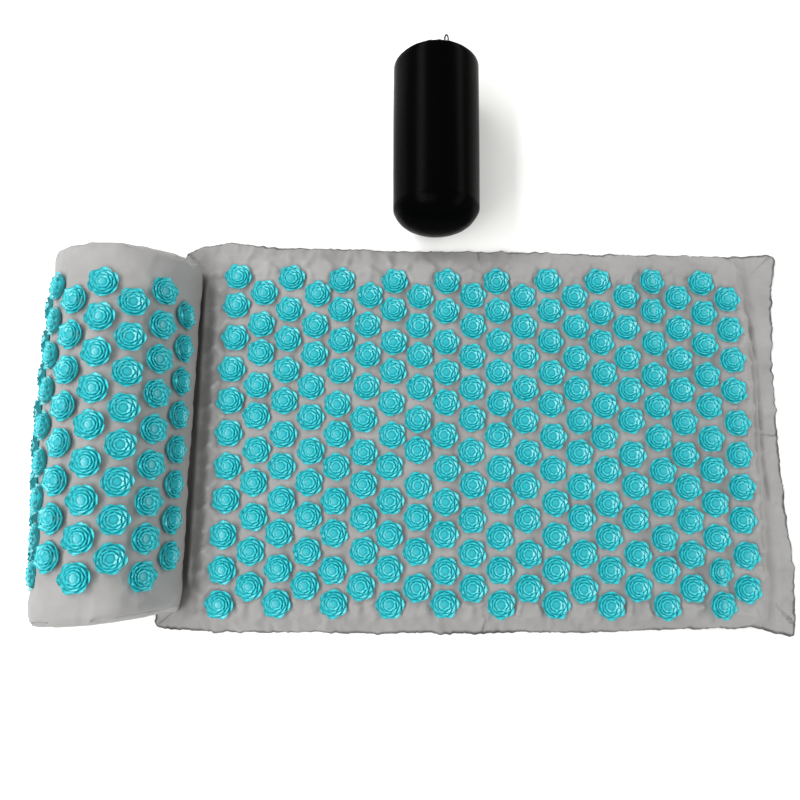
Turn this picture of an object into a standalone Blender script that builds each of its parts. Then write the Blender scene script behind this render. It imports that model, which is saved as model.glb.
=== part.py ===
"""Acupressure mat with its half-round neck pillow and drawn-shut carry bag.

The mat is a flat foam pad in a loose cloth cover. Hard lotus discs stand in a staggered field on its top.
The pillow has the same discs on an arched cover over a foam core. Both covers close with a small coil zip,
the mat's on its underside and the pillow's low on its outer side. The bag lies behind the mat, its mouth
drawn shut by a cord with a spring lock.

Metres, +Z up. The origin is the centre of the mat's underside: +X runs along the mat away from the pillow,
and +Y runs across it towards the bag.
"""
import math
import random

import bmesh
import bpy
from mathutils import Matrix, Vector

# Clearances and cloth
gap = 0.0003
cloth = 0.0010
overrun = 0.0020
weld_distance = 0.00001

# Mat cover and foam pad
short_side_border = 0.045
long_side_border = 0.016
short_side_draw_in = 0.005
long_side_draw_in = 0.002
foam_length = 0.590
foam_width = 0.388
foam_thickness = 0.0170
foam_shift_y = -0.004
foam_crown = 0.0012
cover_shoulder = 0.007
cover_skirt = 0.009
field_cells_x = 6
field_cells_y = 4
skirt_out_shares = (0.35, 0.70)
skirt_rise_shares = (0.86, 0.42)
sheet_cells_x = 8
sheet_cells_y = 6

# Lotus discs
disc_tip_radius = 0.0152
disc_notch_radius = 0.0135
disc_tip_height = 0.0066
disc_notch_height = 0.0025
disc_valley_radius = 0.0058
disc_valley_height = 0.0018
disc_bud_height = 0.0060
disc_sink = 0.0005
petals = 6
disc_turn_seed = 7

# Field of discs
column_pitch = 0.0286
row_pitch = 0.0347
disc_margin_x = 0.0230
disc_margin_y = 0.0200
field_shift_x = 0.0025
field_shift_y = -0.0065
pillow_columns = 7
pillow_disc_margin = 0.0465
pillow_field_turn = math.radians(3.9)
pillow_field_shift = -0.0015

# Pillow
pillow_radius = 0.070
pillow_side_height = 0.030
pillow_zip_room = 0.036
pillow_facet_half = 0.0121
pillow_taper_length = 0.030
pillow_taper = 0.0024
pillow_end_bulge = 0.0030
pillow_end_inset = 0.0015
pillow_end_border = 0.016
pillow_overlap = 0.028
pillow_centre_y = -0.007
pillow_turn = math.radians(-0.7)
pillow_zip_height = 0.016

# Coil zip, the same size on mat and pillow
zip_length = 0.300
zip_end_margin = 0.006
bead_height = 0.0018
bead_width = 0.0015
track_width = 0.0012
tape_thickness = 0.0006
tape_reach = 0.0130
wing_width = 0.0080
wing_thickness = 0.0010
slider_length = 0.0095
slider_tail_width = 0.0056
slider_shoulder_share = 0.45
post_width = 0.0006
crown_length = 0.0060
crown_thickness = 0.0016
crown_bar = 0.0010
pull_thickness = 0.0010
pull_length = 0.0200
pull_width = 0.0062
pull_neck_width = 0.0050
pull_eye_width = 0.0026
pull_eye_length = 0.0033
pull_eye_wall = 0.0012
pull_end_points = 5
stop_length = 0.0018
stop_height = 0.0010
stop_width = 0.0052
mat_zip_inset = 0.022

# Carry bag
bag_radius = 0.047
bag_floor_cut = 0.0010
bag_x = -0.0515
bag_stand_off = 0.0265
bag_tube_length = 0.169
bag_base_depth = 0.023
bag_dome_depth = 0.0085
bag_neck_radius = 0.0075
bag_neck_length = 0.0045
bag_neck_rise = 0.020
bag_pleat_share = 0.14
bag_sides = 24
bag_dome_radius_shares = (1.0, 0.97, 0.86, 0.60, 0.26)
bag_dome_reach_shares = (0.0, 0.18, 0.45, 0.80, 1.0)
bag_base_radius_shares = (1.0, 0.96, 0.85, 0.65, 0.30)
bag_base_reach_shares = (0.0, 0.13, 0.55, 0.82, 0.96)

# Drawstring and cord lock
cord_diameter = 0.0013
strand_spread = 0.0017
cord_turn_radius = 0.0024
cord_spare = 0.0004
loop_length = 0.0095
loop_width = 0.0042
loop_lift = 0.0015
lock_shift_x = 0.0015
cord_samples = 36
bend_route_shares = ((1.0, 0.0), (0.94, 0.42), (0.62, 0.80), (0.25, 0.97), (0.0, 1.0))
loop_route_shares = ((0.17, 0.15, 0.05), (0.27, 0.34, 0.2), (0.22, 0.62, 0.5), (0.34, 0.88, 0.85),
                     (0.62, 1.0, 1.0), (0.94, 0.90, 0.85), (1.12, 0.62, 0.5), (1.06, 0.30, 0.2),
                     (0.82, 0.06, 0.05), (0.45, -0.08, 0.0))
lock_radius = 0.0031
lock_height = 0.0080
lock_wall = 0.0008
lock_floor = 0.0008
lock_sides = 20
lock_travel = 0.0020
plunger_height = 0.0056
plunger_foot = 0.0010
plunger_travel = 0.0012
spring_wire = 0.0003
spring_curls = 3
spring_points_per_curl = 8

# Values that follow from the sizes above. The outer petals' backs are flat, and that sets the disc's base
back_share = (disc_notch_height + disc_sink) / (disc_tip_height + disc_sink)
side_cosine = math.cos(math.pi / petals)
disc_base_radius = ((disc_notch_radius * side_cosine - disc_tip_radius * back_share)
                    / (side_cosine * (1 - back_share)))
half_length = foam_length / 2 + short_side_border
half_width = foam_width / 2 + long_side_border
mat_columns = 1 + int((foam_length - 2 * disc_margin_x) / column_pitch)
mat_rows = 1 + int((foam_width - 2 * disc_margin_y) / row_pitch)
pillow_length = zip_length + 2 * pillow_zip_room
pillow_rows = 1 + int((pillow_length - 2 * pillow_disc_margin) / row_pitch)
bag_seam_y = half_width + bag_stand_off
bag_dome_y = bag_seam_y + bag_tube_length
cord_run = lock_travel + cord_spare
border_top = cloth + gap + cloth
foam_bottom = cloth + gap
foam_top = foam_bottom + foam_thickness
cover_top = foam_top + gap + cloth
cover_run = cover_shoulder + cover_skirt
half_cord = cord_diameter / 2


def clear_scene():
    for thing in list(bpy.data.objects):
        bpy.data.objects.remove(thing, do_unlink=True)
    for group in list(bpy.data.collections):
        bpy.data.collections.remove(group)


def new_collection(name):
    group = bpy.data.collections.new(name)
    bpy.context.scene.collection.children.link(group)
    return group


def make_material(name, color, roughness, metallic=0.0):
    material = bpy.data.materials.new(name)
    material.use_nodes = True
    shader = material.node_tree.nodes["Principled BSDF"]
    shader.inputs["Base Color"].default_value = (*color, 1.0)
    shader.inputs["Roughness"].default_value = roughness
    shader.inputs["Metallic"].default_value = metallic
    material.diffuse_color = (*color, 1.0)
    return material


clear_scene()
parts = new_collection("acupressure_mat")
cutters = new_collection("cutters")
grey_cotton = make_material("grey_cotton", (0.39, 0.37, 0.35), 0.9)
turquoise_plastic = make_material("turquoise_plastic", (0.02, 0.58, 0.62), 0.25)
pale_foam = make_material("pale_foam", (0.80, 0.76, 0.62), 0.95)
grey_coil = make_material("grey_coil", (0.26, 0.25, 0.24), 0.5)
zinc = make_material("zinc", (0.62, 0.62, 0.62), 0.35, 1.0)
black_nylon = make_material("black_nylon", (0.012, 0.012, 0.013), 0.45)
black_plastic = make_material("black_plastic", (0.018, 0.018, 0.018), 0.35)
spring_steel = make_material("spring_steel", (0.55, 0.55, 0.55), 0.3, 1.0)


def place(name, mesh, material, parent=None, location=(0, 0, 0), group=None):
    """Link a mesh as a named object, under its parent empty where it has one."""
    thing = bpy.data.objects.new(name, mesh)
    (group or parts).objects.link(thing)
    if material is not None:
        mesh.materials.append(material)
    thing.parent = parent
    thing.location = location
    return thing


def place_empty(name, location, rotation=(0, 0, 0), parent=None):
    frame = bpy.data.objects.new(name, None)
    parts.objects.link(frame)
    frame.location = location
    frame.rotation_euler = rotation
    frame.parent = parent
    return frame


def to_mesh(name, bm):
    mesh = bpy.data.meshes.new(name)
    bm.to_mesh(mesh)
    bm.free()
    return mesh


def shade_round(thing):
    thing.data.shade_smooth()
    thing.data.set_sharp_from_angle(angle=math.radians(35))


def box_mesh(name, low, high):
    """A box between two corners, from the cube primitive."""
    low = Vector(low)
    high = Vector(high)
    bm = bmesh.new()
    bmesh.ops.create_cube(bm, size=1.0)
    bmesh.ops.scale(bm, vec=high - low, verts=bm.verts)
    bmesh.ops.translate(bm, vec=(high + low) / 2, verts=bm.verts)
    return to_mesh(name, bm)


def outline_mesh(name, loops, depth, turn=None):
    """A flat outline with any holes, extruded by its depth about its own plane and made a welded mesh."""
    curve = bpy.data.curves.new(name + "_outline", "CURVE")
    curve.dimensions = "2D"
    curve.fill_mode = "BOTH"
    curve.extrude = depth / 2
    for loop in loops:
        spline = curve.splines.new("POLY")
        spline.points.add(len(loop) - 1)
        for point, (x, y) in zip(spline.points, loop):
            point.co = (x, y, 0, 1)
        spline.use_cyclic_u = True
    holder = bpy.data.objects.new(name + "_outline", curve)
    cutters.objects.link(holder)
    bpy.context.view_layer.update()
    mesh = bpy.data.meshes.new_from_object(holder.evaluated_get(bpy.context.evaluated_depsgraph_get()))
    bpy.data.objects.remove(holder, do_unlink=True)
    mesh.materials.clear()
    bm = bmesh.new()
    bm.from_mesh(mesh)
    bmesh.ops.remove_doubles(bm, verts=bm.verts, dist=weld_distance)
    bmesh.ops.recalc_face_normals(bm, faces=bm.faces)
    if turn is not None:
        bmesh.ops.transform(bm, matrix=turn, verts=bm.verts)
    bm.to_mesh(mesh)
    bm.free()
    mesh.name = name
    return mesh


def cut_with(thing, name, mesh, parent, operation="DIFFERENCE"):
    """Cut or join a piece with a hidden helper solid."""
    helper = place(name, mesh, None, parent, group=cutters)
    helper.hide_render = True
    helper.display_type = "WIRE"
    boolean = thing.modifiers.new(name, "BOOLEAN")
    boolean.operation = operation
    boolean.solver = "EXACT"
    boolean.object = helper
    return helper


def thicken(thing, thickness):
    """Give a cloth sheet its thickness on the inner side of the modelled face."""
    solidify = thing.modifiers.new("cloth", "SOLIDIFY")
    solidify.thickness = thickness
    solidify.offset = -1.0
    solidify.use_even_offset = True
    return solidify


# Lotus disc: six cupped petals with raised tips round a bud

def lotus_disc_mesh():
    """One disc, its base sunk below Z = 0. The hexagonal stub's corners are the notches between petals."""
    bm = bmesh.new()
    height = disc_sink + disc_notch_height
    bmesh.ops.create_cone(bm, segments=petals, radius1=disc_base_radius, radius2=disc_notch_radius,
                          depth=height, cap_ends=True)
    bmesh.ops.translate(bm, vec=(0, 0, height / 2 - disc_sink), verts=bm.verts)
    top = max(bm.faces, key=lambda face: face.calc_center_median().z)
    notches = set(top.verts)
    bmesh.ops.inset_region(bm, faces=[top], thickness=disc_valley_radius)
    for vert in top.verts:
        flat = vert.co.xy.normalized() * disc_valley_radius
        vert.co = (flat.x, flat.y, disc_valley_height)
    rim_edges = [edge for edge in bm.edges if all(vert in notches for vert in edge.verts)]
    split = bmesh.ops.subdivide_edges(bm, edges=rim_edges, cuts=1)
    for vert in (item for item in split["geom_inner"] if isinstance(item, bmesh.types.BMVert)):
        flat = vert.co.xy.normalized() * disc_tip_radius
        vert.co = (flat.x, flat.y, disc_tip_height)
    valley = set(top.verts)
    bud = bmesh.ops.poke(bm, faces=[top])["verts"][0]
    bud.co = (0, 0, disc_bud_height)
    bmesh.ops.triangulate(bm, faces=[face for face in bm.faces if valley.intersection(face.verts)])
    bmesh.ops.recalc_face_normals(bm, faces=bm.faces)
    return to_mesh("lotus_disc", bm)


def disc_group_mesh(name, places):
    """All the discs of one cover as one helper mesh. Each place is a centre, its outward axis and a turn."""
    disc = lotus_disc_mesh()
    bm = bmesh.new()
    for centre, outward, turn in places:
        start = len(bm.verts)
        bm.from_mesh(disc)
        bm.verts.ensure_lookup_table()
        stand = outward.to_track_quat("Z", "Y").to_matrix().to_4x4()
        move = Matrix.Translation(centre) @ stand @ Matrix.Rotation(turn, 4, "Z")
        bmesh.ops.transform(bm, matrix=move, verts=bm.verts[start:])
    bpy.data.meshes.remove(disc)
    return to_mesh(name, bm)


def staggered_rows(columns, rows):
    """Column number and place along the column for a field whose even columns hold one disc more."""
    for column in range(columns):
        count = rows - column % 2
        for row in range(count):
            yield column, (row - (count - 1) / 2) * row_pitch


# Mat cover sheets

def seam_point(x, y):
    """Draw the seam in between the corners, as a sewn cover's sides are."""
    side_x = half_length - short_side_draw_in * (1 - (y / half_width) ** 2)
    side_y = half_width - long_side_draw_in * (1 - (x / half_length) ** 2)
    return max(-side_x, min(side_x, x)), max(-side_y, min(side_y, y))


def cover_stations(half, foam_low, foam_high, cells):
    """Places across the top cover, each with its share of the rise from the seam to the top of the pad."""
    steps = [(0.0, 1.0)] + list(zip(skirt_out_shares, skirt_rise_shares)) + [(1.0, 0.0)]
    low = foam_low + cover_shoulder
    high = foam_high - cover_shoulder
    left = [(-half, 0.0)] + [(low - out * cover_run, rise) for out, rise in reversed(steps)]
    middle = [(low + (high - low) * cell / cells, 1.0) for cell in range(1, cells)]
    right = [(high + out * cover_run, rise) for out, rise in steps] + [(half, 0.0)]
    return left + middle + right


def crown_at(x, y):
    """How far the pad's middle stands above its shoulders."""
    across = 1 - min(1, abs(x) / (foam_length / 2)) ** 2
    along = 1 - min(1, abs(y - foam_shift_y) / (foam_width / 2)) ** 2
    return foam_crown * across * along


def station_grid(stations_x, stations_y, height):
    """A grid primitive whose vertices are moved to the stations' places."""
    bm = bmesh.new()
    cells_x = len(stations_x) - 1
    cells_y = len(stations_y) - 1
    bmesh.ops.create_grid(bm, x_segments=cells_x, y_segments=cells_y, size=1.0)
    for vert in bm.verts:
        column = round((vert.co.x + 1) / 2 * cells_x)
        row = round((vert.co.y + 1) / 2 * cells_y)
        x, rise_x = stations_x[column]
        y, rise_y = stations_y[row]
        x, y = seam_point(x, y)
        vert.co = (x, y, height(x, y, min(rise_x, rise_y)))
    return bm


def mat_stations():
    return (cover_stations(half_length, -foam_length / 2, foam_length / 2, field_cells_x),
            cover_stations(half_width, foam_shift_y - foam_width / 2, foam_shift_y + foam_width / 2,
                           field_cells_y))


def cover_height(x, y, rise):
    lift = crown_at(x, y) if rise == 1.0 else 0
    return border_top + (cover_top - border_top) * rise + lift


def make_mat_top_cover():
    stations_x, stations_y = mat_stations()
    sheet = place("mat_top_cover", to_mesh("mat_top_cover", station_grid(stations_x, stations_y, cover_height)),
                  grey_cotton)
    sheet.data.materials.append(turquoise_plastic)
    thicken(sheet, cloth)
    turns = random.Random(disc_turn_seed)
    places = []
    for column, along in staggered_rows(mat_columns, mat_rows):
        x = (column - (mat_columns - 1) / 2) * column_pitch + field_shift_x
        y = along + field_shift_y
        centre = Vector((x, y, cover_top + crown_at(x, y)))
        places.append((centre, Vector((0, 0, 1)), turns.random() * math.tau / petals))
    cut_with(sheet, "mat_discs", disc_group_mesh("mat_discs", places), None, "UNION")
    return sheet


def make_mat_bottom_cover():
    """The plain underside. Its lower face is the mat's resting face."""
    def even(half, cells):
        return [(half * (2 * cell / cells - 1), 0.0) for cell in range(cells + 1)]

    bm = station_grid(even(half_length, sheet_cells_x), even(half_width, sheet_cells_y), lambda x, y, rise: 0)
    bmesh.ops.reverse_faces(bm, faces=bm.faces)
    sheet = place("mat_bottom_cover", to_mesh("mat_bottom_cover", bm), grey_cotton)
    thicken(sheet, cloth)
    return sheet


def drop_at_foam_edge():
    """How far the cover has already come down where it passes the foam's side."""
    out = cover_shoulder / cover_run
    steps = [(0.0, 1.0)] + list(zip(skirt_out_shares, skirt_rise_shares)) + [(1.0, 0.0)]
    for (out_a, rise_a), (out_b, rise_b) in zip(steps, steps[1:]):
        if out <= out_b:
            rise = rise_a + (rise_b - rise_a) * (out - out_a) / (out_b - out_a)
            return (1 - rise) * (cover_top - border_top)
    return cover_top - border_top


def make_mat_foam_pad():
    """The pad, its top crowned like the cover and its top edges pressed down under it."""
    edge_drop = drop_at_foam_edge() + 2 * (cloth + gap)

    def stations(low, high, cells):
        inner_low = low + cover_shoulder
        inner_high = high - cover_shoulder
        inside = [(inner_low + (inner_high - inner_low) * cell / cells, 1.0) for cell in range(cells + 1)]
        return [(low, 0.0)] + inside + [(high, 0.0)]

    def height(x, y, rise):
        return foam_top + crown_at(x, y) if rise == 1.0 else foam_top - edge_drop

    foam_low_y = foam_shift_y - foam_width / 2
    bm = station_grid(stations(-foam_length / 2, foam_length / 2, field_cells_x),
                      stations(foam_low_y, foam_low_y + foam_width, field_cells_y), height)
    lower = bmesh.ops.extrude_face_region(bm, geom=bm.faces[:])
    for vert in (item for item in lower["geom"] if isinstance(item, bmesh.types.BMVert)):
        vert.co.z = foam_bottom
    bmesh.ops.recalc_face_normals(bm, faces=bm.faces)
    return place("mat_foam_pad", to_mesh("mat_foam_pad", bm), pale_foam)


# Pillow: an arched cover with a flat facet under each column of discs

pillow_half_length = pillow_length / 2
column_angle = column_pitch / pillow_radius
pillow_taper_share = pillow_taper / pillow_radius


def arch_angle(column):
    """How far a column of discs leans from straight up, counted from the left foot to the right foot."""
    return (column - (pillow_columns - 1) / 2) * column_angle + pillow_field_turn


def arch_profile(inward, base):
    """Section of the arch, moved inward by a wall, from its right foot over the top to its left foot."""
    radius = pillow_radius - inward
    half = pillow_facet_half * radius / pillow_radius
    points = []
    for column in reversed(range(pillow_columns)):
        angle = arch_angle(column)
        outward = Vector((math.sin(angle), math.cos(angle)))
        along = Vector((math.cos(angle), -math.sin(angle)))
        centre = Vector((0, pillow_side_height))
        points.append(centre + outward * radius + along * half)
        points.append(centre + outward * radius - along * half)
    points[0].x = min(points[0].x, radius)
    points[-1].x = max(points[-1].x, -radius)
    wall_tops = []
    for last_angle, last_point in ((arch_angle(pillow_columns - 1), points[0]), (-arch_angle(0), points[-1])):
        bend = radius * math.tan((math.pi / 2 - last_angle) / 2)
        top = pillow_side_height + min(bend, half) - inward
        wall_tops.append(min(top, last_point.y - cloth))
    return ([Vector((radius, base)), Vector((radius, wall_tops[0]))] + points
            + [Vector((-radius, wall_tops[1])), Vector((-radius, base))])


def arch_scale(y):
    """The loaf draws in a little over its last stretch at each end."""
    into_taper = max(0, abs(y) - (pillow_half_length - pillow_taper_length)) / pillow_taper_length
    return 1 - pillow_taper_share * into_taper ** 2


def arch_stations(half):
    taper_start = pillow_half_length - pillow_taper_length
    taper_middle = (taper_start + half) / 2
    return [-half, -taper_middle, -taper_start, taper_start, taper_middle, half]


def loft_profile(bm, profile, stations, base):
    """Carry a section along Y through its stations, drawn in at the ends. Returns its first and last edges."""
    def put(verts, y):
        size = arch_scale(y)
        for vert, point in zip(verts, profile):
            vert.co = (point.x * size, y, base + (point.y - base) * size)

    verts = [bm.verts.new((point.x, stations[0], point.y)) for point in profile]
    put(verts, stations[0])
    edges = [bm.edges.new(pair) for pair in zip(verts, verts[1:])]
    first = list(edges)
    for y in stations[1:]:
        grown = bmesh.ops.extrude_edge_only(bm, edges=edges)["geom"]
        fresh = [item for item in grown if isinstance(item, bmesh.types.BMVert)]
        bm.verts.index_update()
        previous = {vert: None for vert in verts}
        for vert in fresh:
            for edge in vert.link_edges:
                other = edge.other_vert(vert)
                if other in previous:
                    previous[other] = vert
        verts = [previous[vert] for vert in verts]
        put(verts, y)
        edges = [bm.edges.get(pair) for pair in zip(verts, verts[1:])]
    return first, edges


def face_outward(bm, centre_z):
    """Turn an open sheet's faces away from the pillow's axis."""
    face = next(iter(bm.faces))
    middle = face.calc_center_median()
    away = Vector((middle.x, 0, middle.z - centre_z))
    if face.normal.dot(away) < 0:
        bmesh.ops.reverse_faces(bm, faces=bm.faces)


def make_pillow_top_cover(frame):
    bm = bmesh.new()
    loft_profile(bm, arch_profile(0, 0), arch_stations(pillow_half_length), 0)
    bm.normal_update()
    face_outward(bm, pillow_side_height)
    cover = place("pillow_top_cover", to_mesh("pillow_top_cover", bm), grey_cotton, frame)
    cover.data.materials.append(turquoise_plastic)
    thicken(cover, cloth)
    turns = random.Random(disc_turn_seed + 1)
    places = []
    for column, along in staggered_rows(pillow_columns + 1, pillow_rows):
        if column == 0:
            continue
        angle = arch_angle(column - 1)
        outward = Vector((math.sin(angle), 0, math.cos(angle)))
        centre = Vector((0, along + pillow_field_shift, pillow_side_height)) + outward * pillow_radius
        places.append((centre, outward, turns.random() * math.tau / petals))
    cut_with(cover, "pillow_discs", disc_group_mesh("pillow_discs", places), frame, "UNION")
    return cover


def make_pillow_core(frame):
    """The half-round foam block inside the covers."""
    wall = cloth + gap
    half = pillow_half_length - pillow_end_inset - cloth - gap
    bm = bmesh.new()
    first, last = loft_profile(bm, arch_profile(wall, wall), arch_stations(half), wall)
    for edges in (first, last):
        ends = [vert for vert in {vert for edge in edges for vert in edge.verts} if len(
            [edge for edge in vert.link_edges if edge in edges]) == 1]
        foot = bm.edges.new(ends)
        bmesh.ops.holes_fill(bm, edges=edges + [foot], sides=0)
    bmesh.ops.holes_fill(bm, edges=[edge for edge in bm.edges if edge.is_boundary], sides=0)
    bmesh.ops.recalc_face_normals(bm, faces=bm.faces)
    return place("pillow_core", to_mesh("pillow_core", bm), pale_foam, frame)


def make_pillow_base_panel(frame):
    """The flat cloth under the pillow, between the arch's feet."""
    reach = pillow_radius - cloth - gap
    half = pillow_half_length - pillow_end_inset
    taper = arch_scale(half)
    bm = bmesh.new()
    bmesh.ops.create_cube(bm, size=1.0)
    bmesh.ops.scale(bm, vec=(2 * reach * taper, 2 * half, cloth), verts=bm.verts)
    bmesh.ops.translate(bm, vec=(0, 0, cloth / 2), verts=bm.verts)
    return place("pillow_base_panel", to_mesh("pillow_base_panel", bm), grey_cotton, frame)


def make_pillow_end(name, frame, side):
    """A D-shaped end panel, set inside the arch's mouth and a little domed."""
    wall = cloth + gap
    y = pillow_half_length - pillow_end_inset
    size = arch_scale(y)
    profile = arch_profile(wall, wall)
    bm = bmesh.new()
    verts = [bm.verts.new((point.x * size, side * y, wall + (point.y - wall) * size)) for point in profile]
    face = bm.faces.new(verts)
    face.normal_update()
    if face.normal.y * side < 0:
        face.normal_flip()
    bmesh.ops.inset_region(bm, faces=[face], thickness=pillow_end_border, depth=pillow_end_bulge)
    panel = place(name, to_mesh(name, bm), grey_cotton, frame)
    thicken(panel, cloth)
    return panel


# Coil zip, in its own frame: X along it, Y across it, Z out of the cover, whose outer face is Z = 0

crown_height = gap + pull_thickness + gap + crown_bar
crown_top = -gap
wing_top = crown_top - crown_height
wing_bottom = wing_top - wing_thickness
bead_top = wing_bottom - gap
bead_bottom = bead_top - bead_height
tape_top = bead_bottom + tape_thickness
inner_wing_top = bead_bottom - gap
inner_wing_bottom = inner_wing_top - wing_thickness
channel_bottom = inner_wing_bottom - gap
hem_top = -(cloth + gap)
hem_bottom = hem_top - tape_thickness
riser_inner = wing_width / 2 + gap
riser_outer = riser_inner + tape_thickness
slot_half = (riser_inner + riser_outer) / 2
zip_half = zip_length / 2
pivot_height = wing_top + gap + pull_thickness / 2
along_x = Matrix(((0, 0, 1, 0), (1, 0, 0, 0), (0, 1, 0, 0), (0, 0, 0, 1)))
across_y = Matrix(((1, 0, 0, 0), (0, 0, -1, 0), (0, 1, 0, 0), (0, 0, 0, 1)))


def make_zip_tape(name, frame, side):
    """One half: the coil bead beside the track, its tape, the riser through the slot and the sewn hem."""
    inner = track_width / 2
    section = [(inner, bead_top), (inner + bead_width, bead_top), (inner + bead_width, tape_top),
               (riser_inner, tape_top), (riser_inner, hem_top), (tape_reach, hem_top),
               (tape_reach, hem_bottom), (riser_outer, hem_bottom), (riser_outer, bead_bottom),
               (inner, bead_bottom)]
    section = [(y * side, z) for y, z in section]
    mesh = outline_mesh(name, [section], zip_length + 2 * zip_end_margin, along_x)
    return place(name, mesh, grey_coil, frame)


def make_zip_stop(name, frame, x):
    """A stop clipped over both beads."""
    half = stop_length / 2
    mesh = box_mesh(name, (-half, -stop_width / 2, bead_top + gap),
                    (half, stop_width / 2, bead_top + gap + stop_height))
    return place(name, mesh, zinc, frame, (x, 0, 0))


def make_zip_slider(name, frame, x):
    """Two shield-shaped wings on a post, with the crown that holds the pull."""
    half_post = post_width / 2
    half_wing = wing_width / 2
    blank = half_wing + overrun
    beam = [(-blank, wing_top), (blank, wing_top), (blank, wing_bottom), (half_post, wing_bottom),
            (half_post, inner_wing_top), (blank, inner_wing_top), (blank, inner_wing_bottom),
            (-blank, inner_wing_bottom), (-blank, inner_wing_top), (-half_post, inner_wing_top),
            (-half_post, wing_bottom), (-blank, wing_bottom)]
    slider = place(name, outline_mesh(name, [beam], slider_length + overrun, along_x), zinc, frame, (x, 0, 0))
    half = slider_length / 2
    shoulder = half * slider_shoulder_share
    tail = slider_tail_width / 2
    shield = [(half, -tail), (half, tail), (shoulder, half_wing), (-shoulder, half_wing), (-half, tail),
              (-half, -tail), (-shoulder, -half_wing), (shoulder, -half_wing)]
    depth = 2 * (wing_top - inner_wing_bottom)
    middle = Matrix.Translation((0, 0, (wing_top + inner_wing_bottom) / 2))
    helper = cut_with(slider, name + "_shield", outline_mesh(name + "_shield", [shield], depth, middle), frame,
                      "INTERSECT")
    helper.location = (x, 0, 0)
    half_crown = crown_length / 2
    leg = half_crown - crown_bar
    foot = wing_top - wing_thickness / 2
    arch = [(-half_crown, foot), (-leg, foot), (-leg, crown_top - crown_bar), (leg, crown_top - crown_bar),
            (leg, foot), (half_crown, foot), (half_crown, crown_top - crown_bar / 2), (leg, crown_top),
            (-leg, crown_top), (-half_crown, crown_top - crown_bar / 2)]
    helper = cut_with(slider, name + "_crown", outline_mesh(name + "_crown", [arch], crown_thickness, across_y),
                      frame, "UNION")
    helper.location = (x, 0, 0)
    return slider


def make_zip_pull(name, frame, x):
    """The tab. Its eye's end bar lies through the crown, on the joint's axis."""
    bar = pull_thickness / 2
    eye_end = -(bar + pull_eye_length)
    neck_end = eye_end - pull_eye_wall
    half_neck = pull_neck_width / 2
    half_tab = pull_width / 2
    half_eye = pull_eye_width / 2
    centre = -(pull_length - half_tab)
    tip = []
    for step in range(pull_end_points + 1):
        angle = math.pi * step / pull_end_points
        tip.append((centre - half_tab * math.sin(angle), half_tab * math.cos(angle)))
    outline = [(bar, -half_neck), (bar, half_neck), (neck_end, half_neck)] + tip + [(neck_end, -half_neck)]
    eye = [(-bar, -half_eye), (eye_end, -half_eye), (eye_end, half_eye), (-bar, half_eye)]
    mesh = outline_mesh(name, [outline, eye], pull_thickness)
    return place(name, mesh, zinc, frame, (x, 0, pivot_height))


def slot_mesh(name):
    """The opening in the cover over the zip."""
    return box_mesh(name, (-zip_half, -slot_half, -cloth - overrun), (zip_half, slot_half, overrun))


def channel_meshes(name):
    """Room in the foam for the hems and, in the middle, for the risers and the slider."""
    reach = zip_half + zip_end_margin + gap
    hems = box_mesh(name + "_hems", (-reach, -tape_reach - gap, hem_bottom - gap),
                    (reach, tape_reach + gap, overrun))
    track = box_mesh(name + "_track", (-reach, -riser_outer - gap, channel_bottom),
                     (reach, riser_outer + gap, overrun))
    return hems, track


def make_zip(prefix, frame, tape_names, cover, foam):
    """A whole zip in its frame, with its slot in the cover and its room in the foam."""
    make_zip_tape(prefix + tape_names[0], frame, -1)
    make_zip_tape(prefix + tape_names[1], frame, 1)
    stop_place = zip_half - stop_length / 2 - gap
    make_zip_stop(prefix + "zip_stop_start", frame, pull_length - stop_place)
    make_zip_stop(prefix + "zip_stop_end", frame, stop_place)
    rest = stop_place - stop_length / 2 - gap - slider_length / 2
    make_zip_slider(prefix + "zip_slider", frame, rest)
    make_zip_pull(prefix + "zip_pull", frame, rest)
    cut_with(cover, prefix + "zip_slot", slot_mesh(prefix + "zip_slot"), frame)
    hems, track = channel_meshes(prefix + "zip_room")
    cut_with(foam, prefix + "zip_room_hems", hems, frame)
    cut_with(foam, prefix + "zip_room_track", track, frame)
    return rest


# Carry bag: a soft cylinder on its side, with a domed base panel and a gathered mouth

def spin_section(section, steps):
    """Turn a section of (radius, y) points, closed on the axis at both ends, about Y."""
    bm = bmesh.new()
    verts = [bm.verts.new((radius, y, 0)) for radius, y in section]
    edges = [bm.edges.new(pair) for pair in zip(verts, verts[1:])]
    bmesh.ops.spin(bm, geom=verts + edges, cent=(0, 0, 0), axis=(0, 1, 0), angle=math.tau, steps=steps,
                   use_merge=True)
    bmesh.ops.remove_doubles(bm, verts=bm.verts, dist=weld_distance)
    bmesh.ops.recalc_face_normals(bm, faces=bm.faces)
    return bm


def rest_on_floor(bm):
    """Press the underside flat, as a full soft bag lies."""
    lowest = bag_floor_cut - bag_radius
    for vert in bm.verts:
        vert.co.z = max(vert.co.z, lowest)


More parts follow.
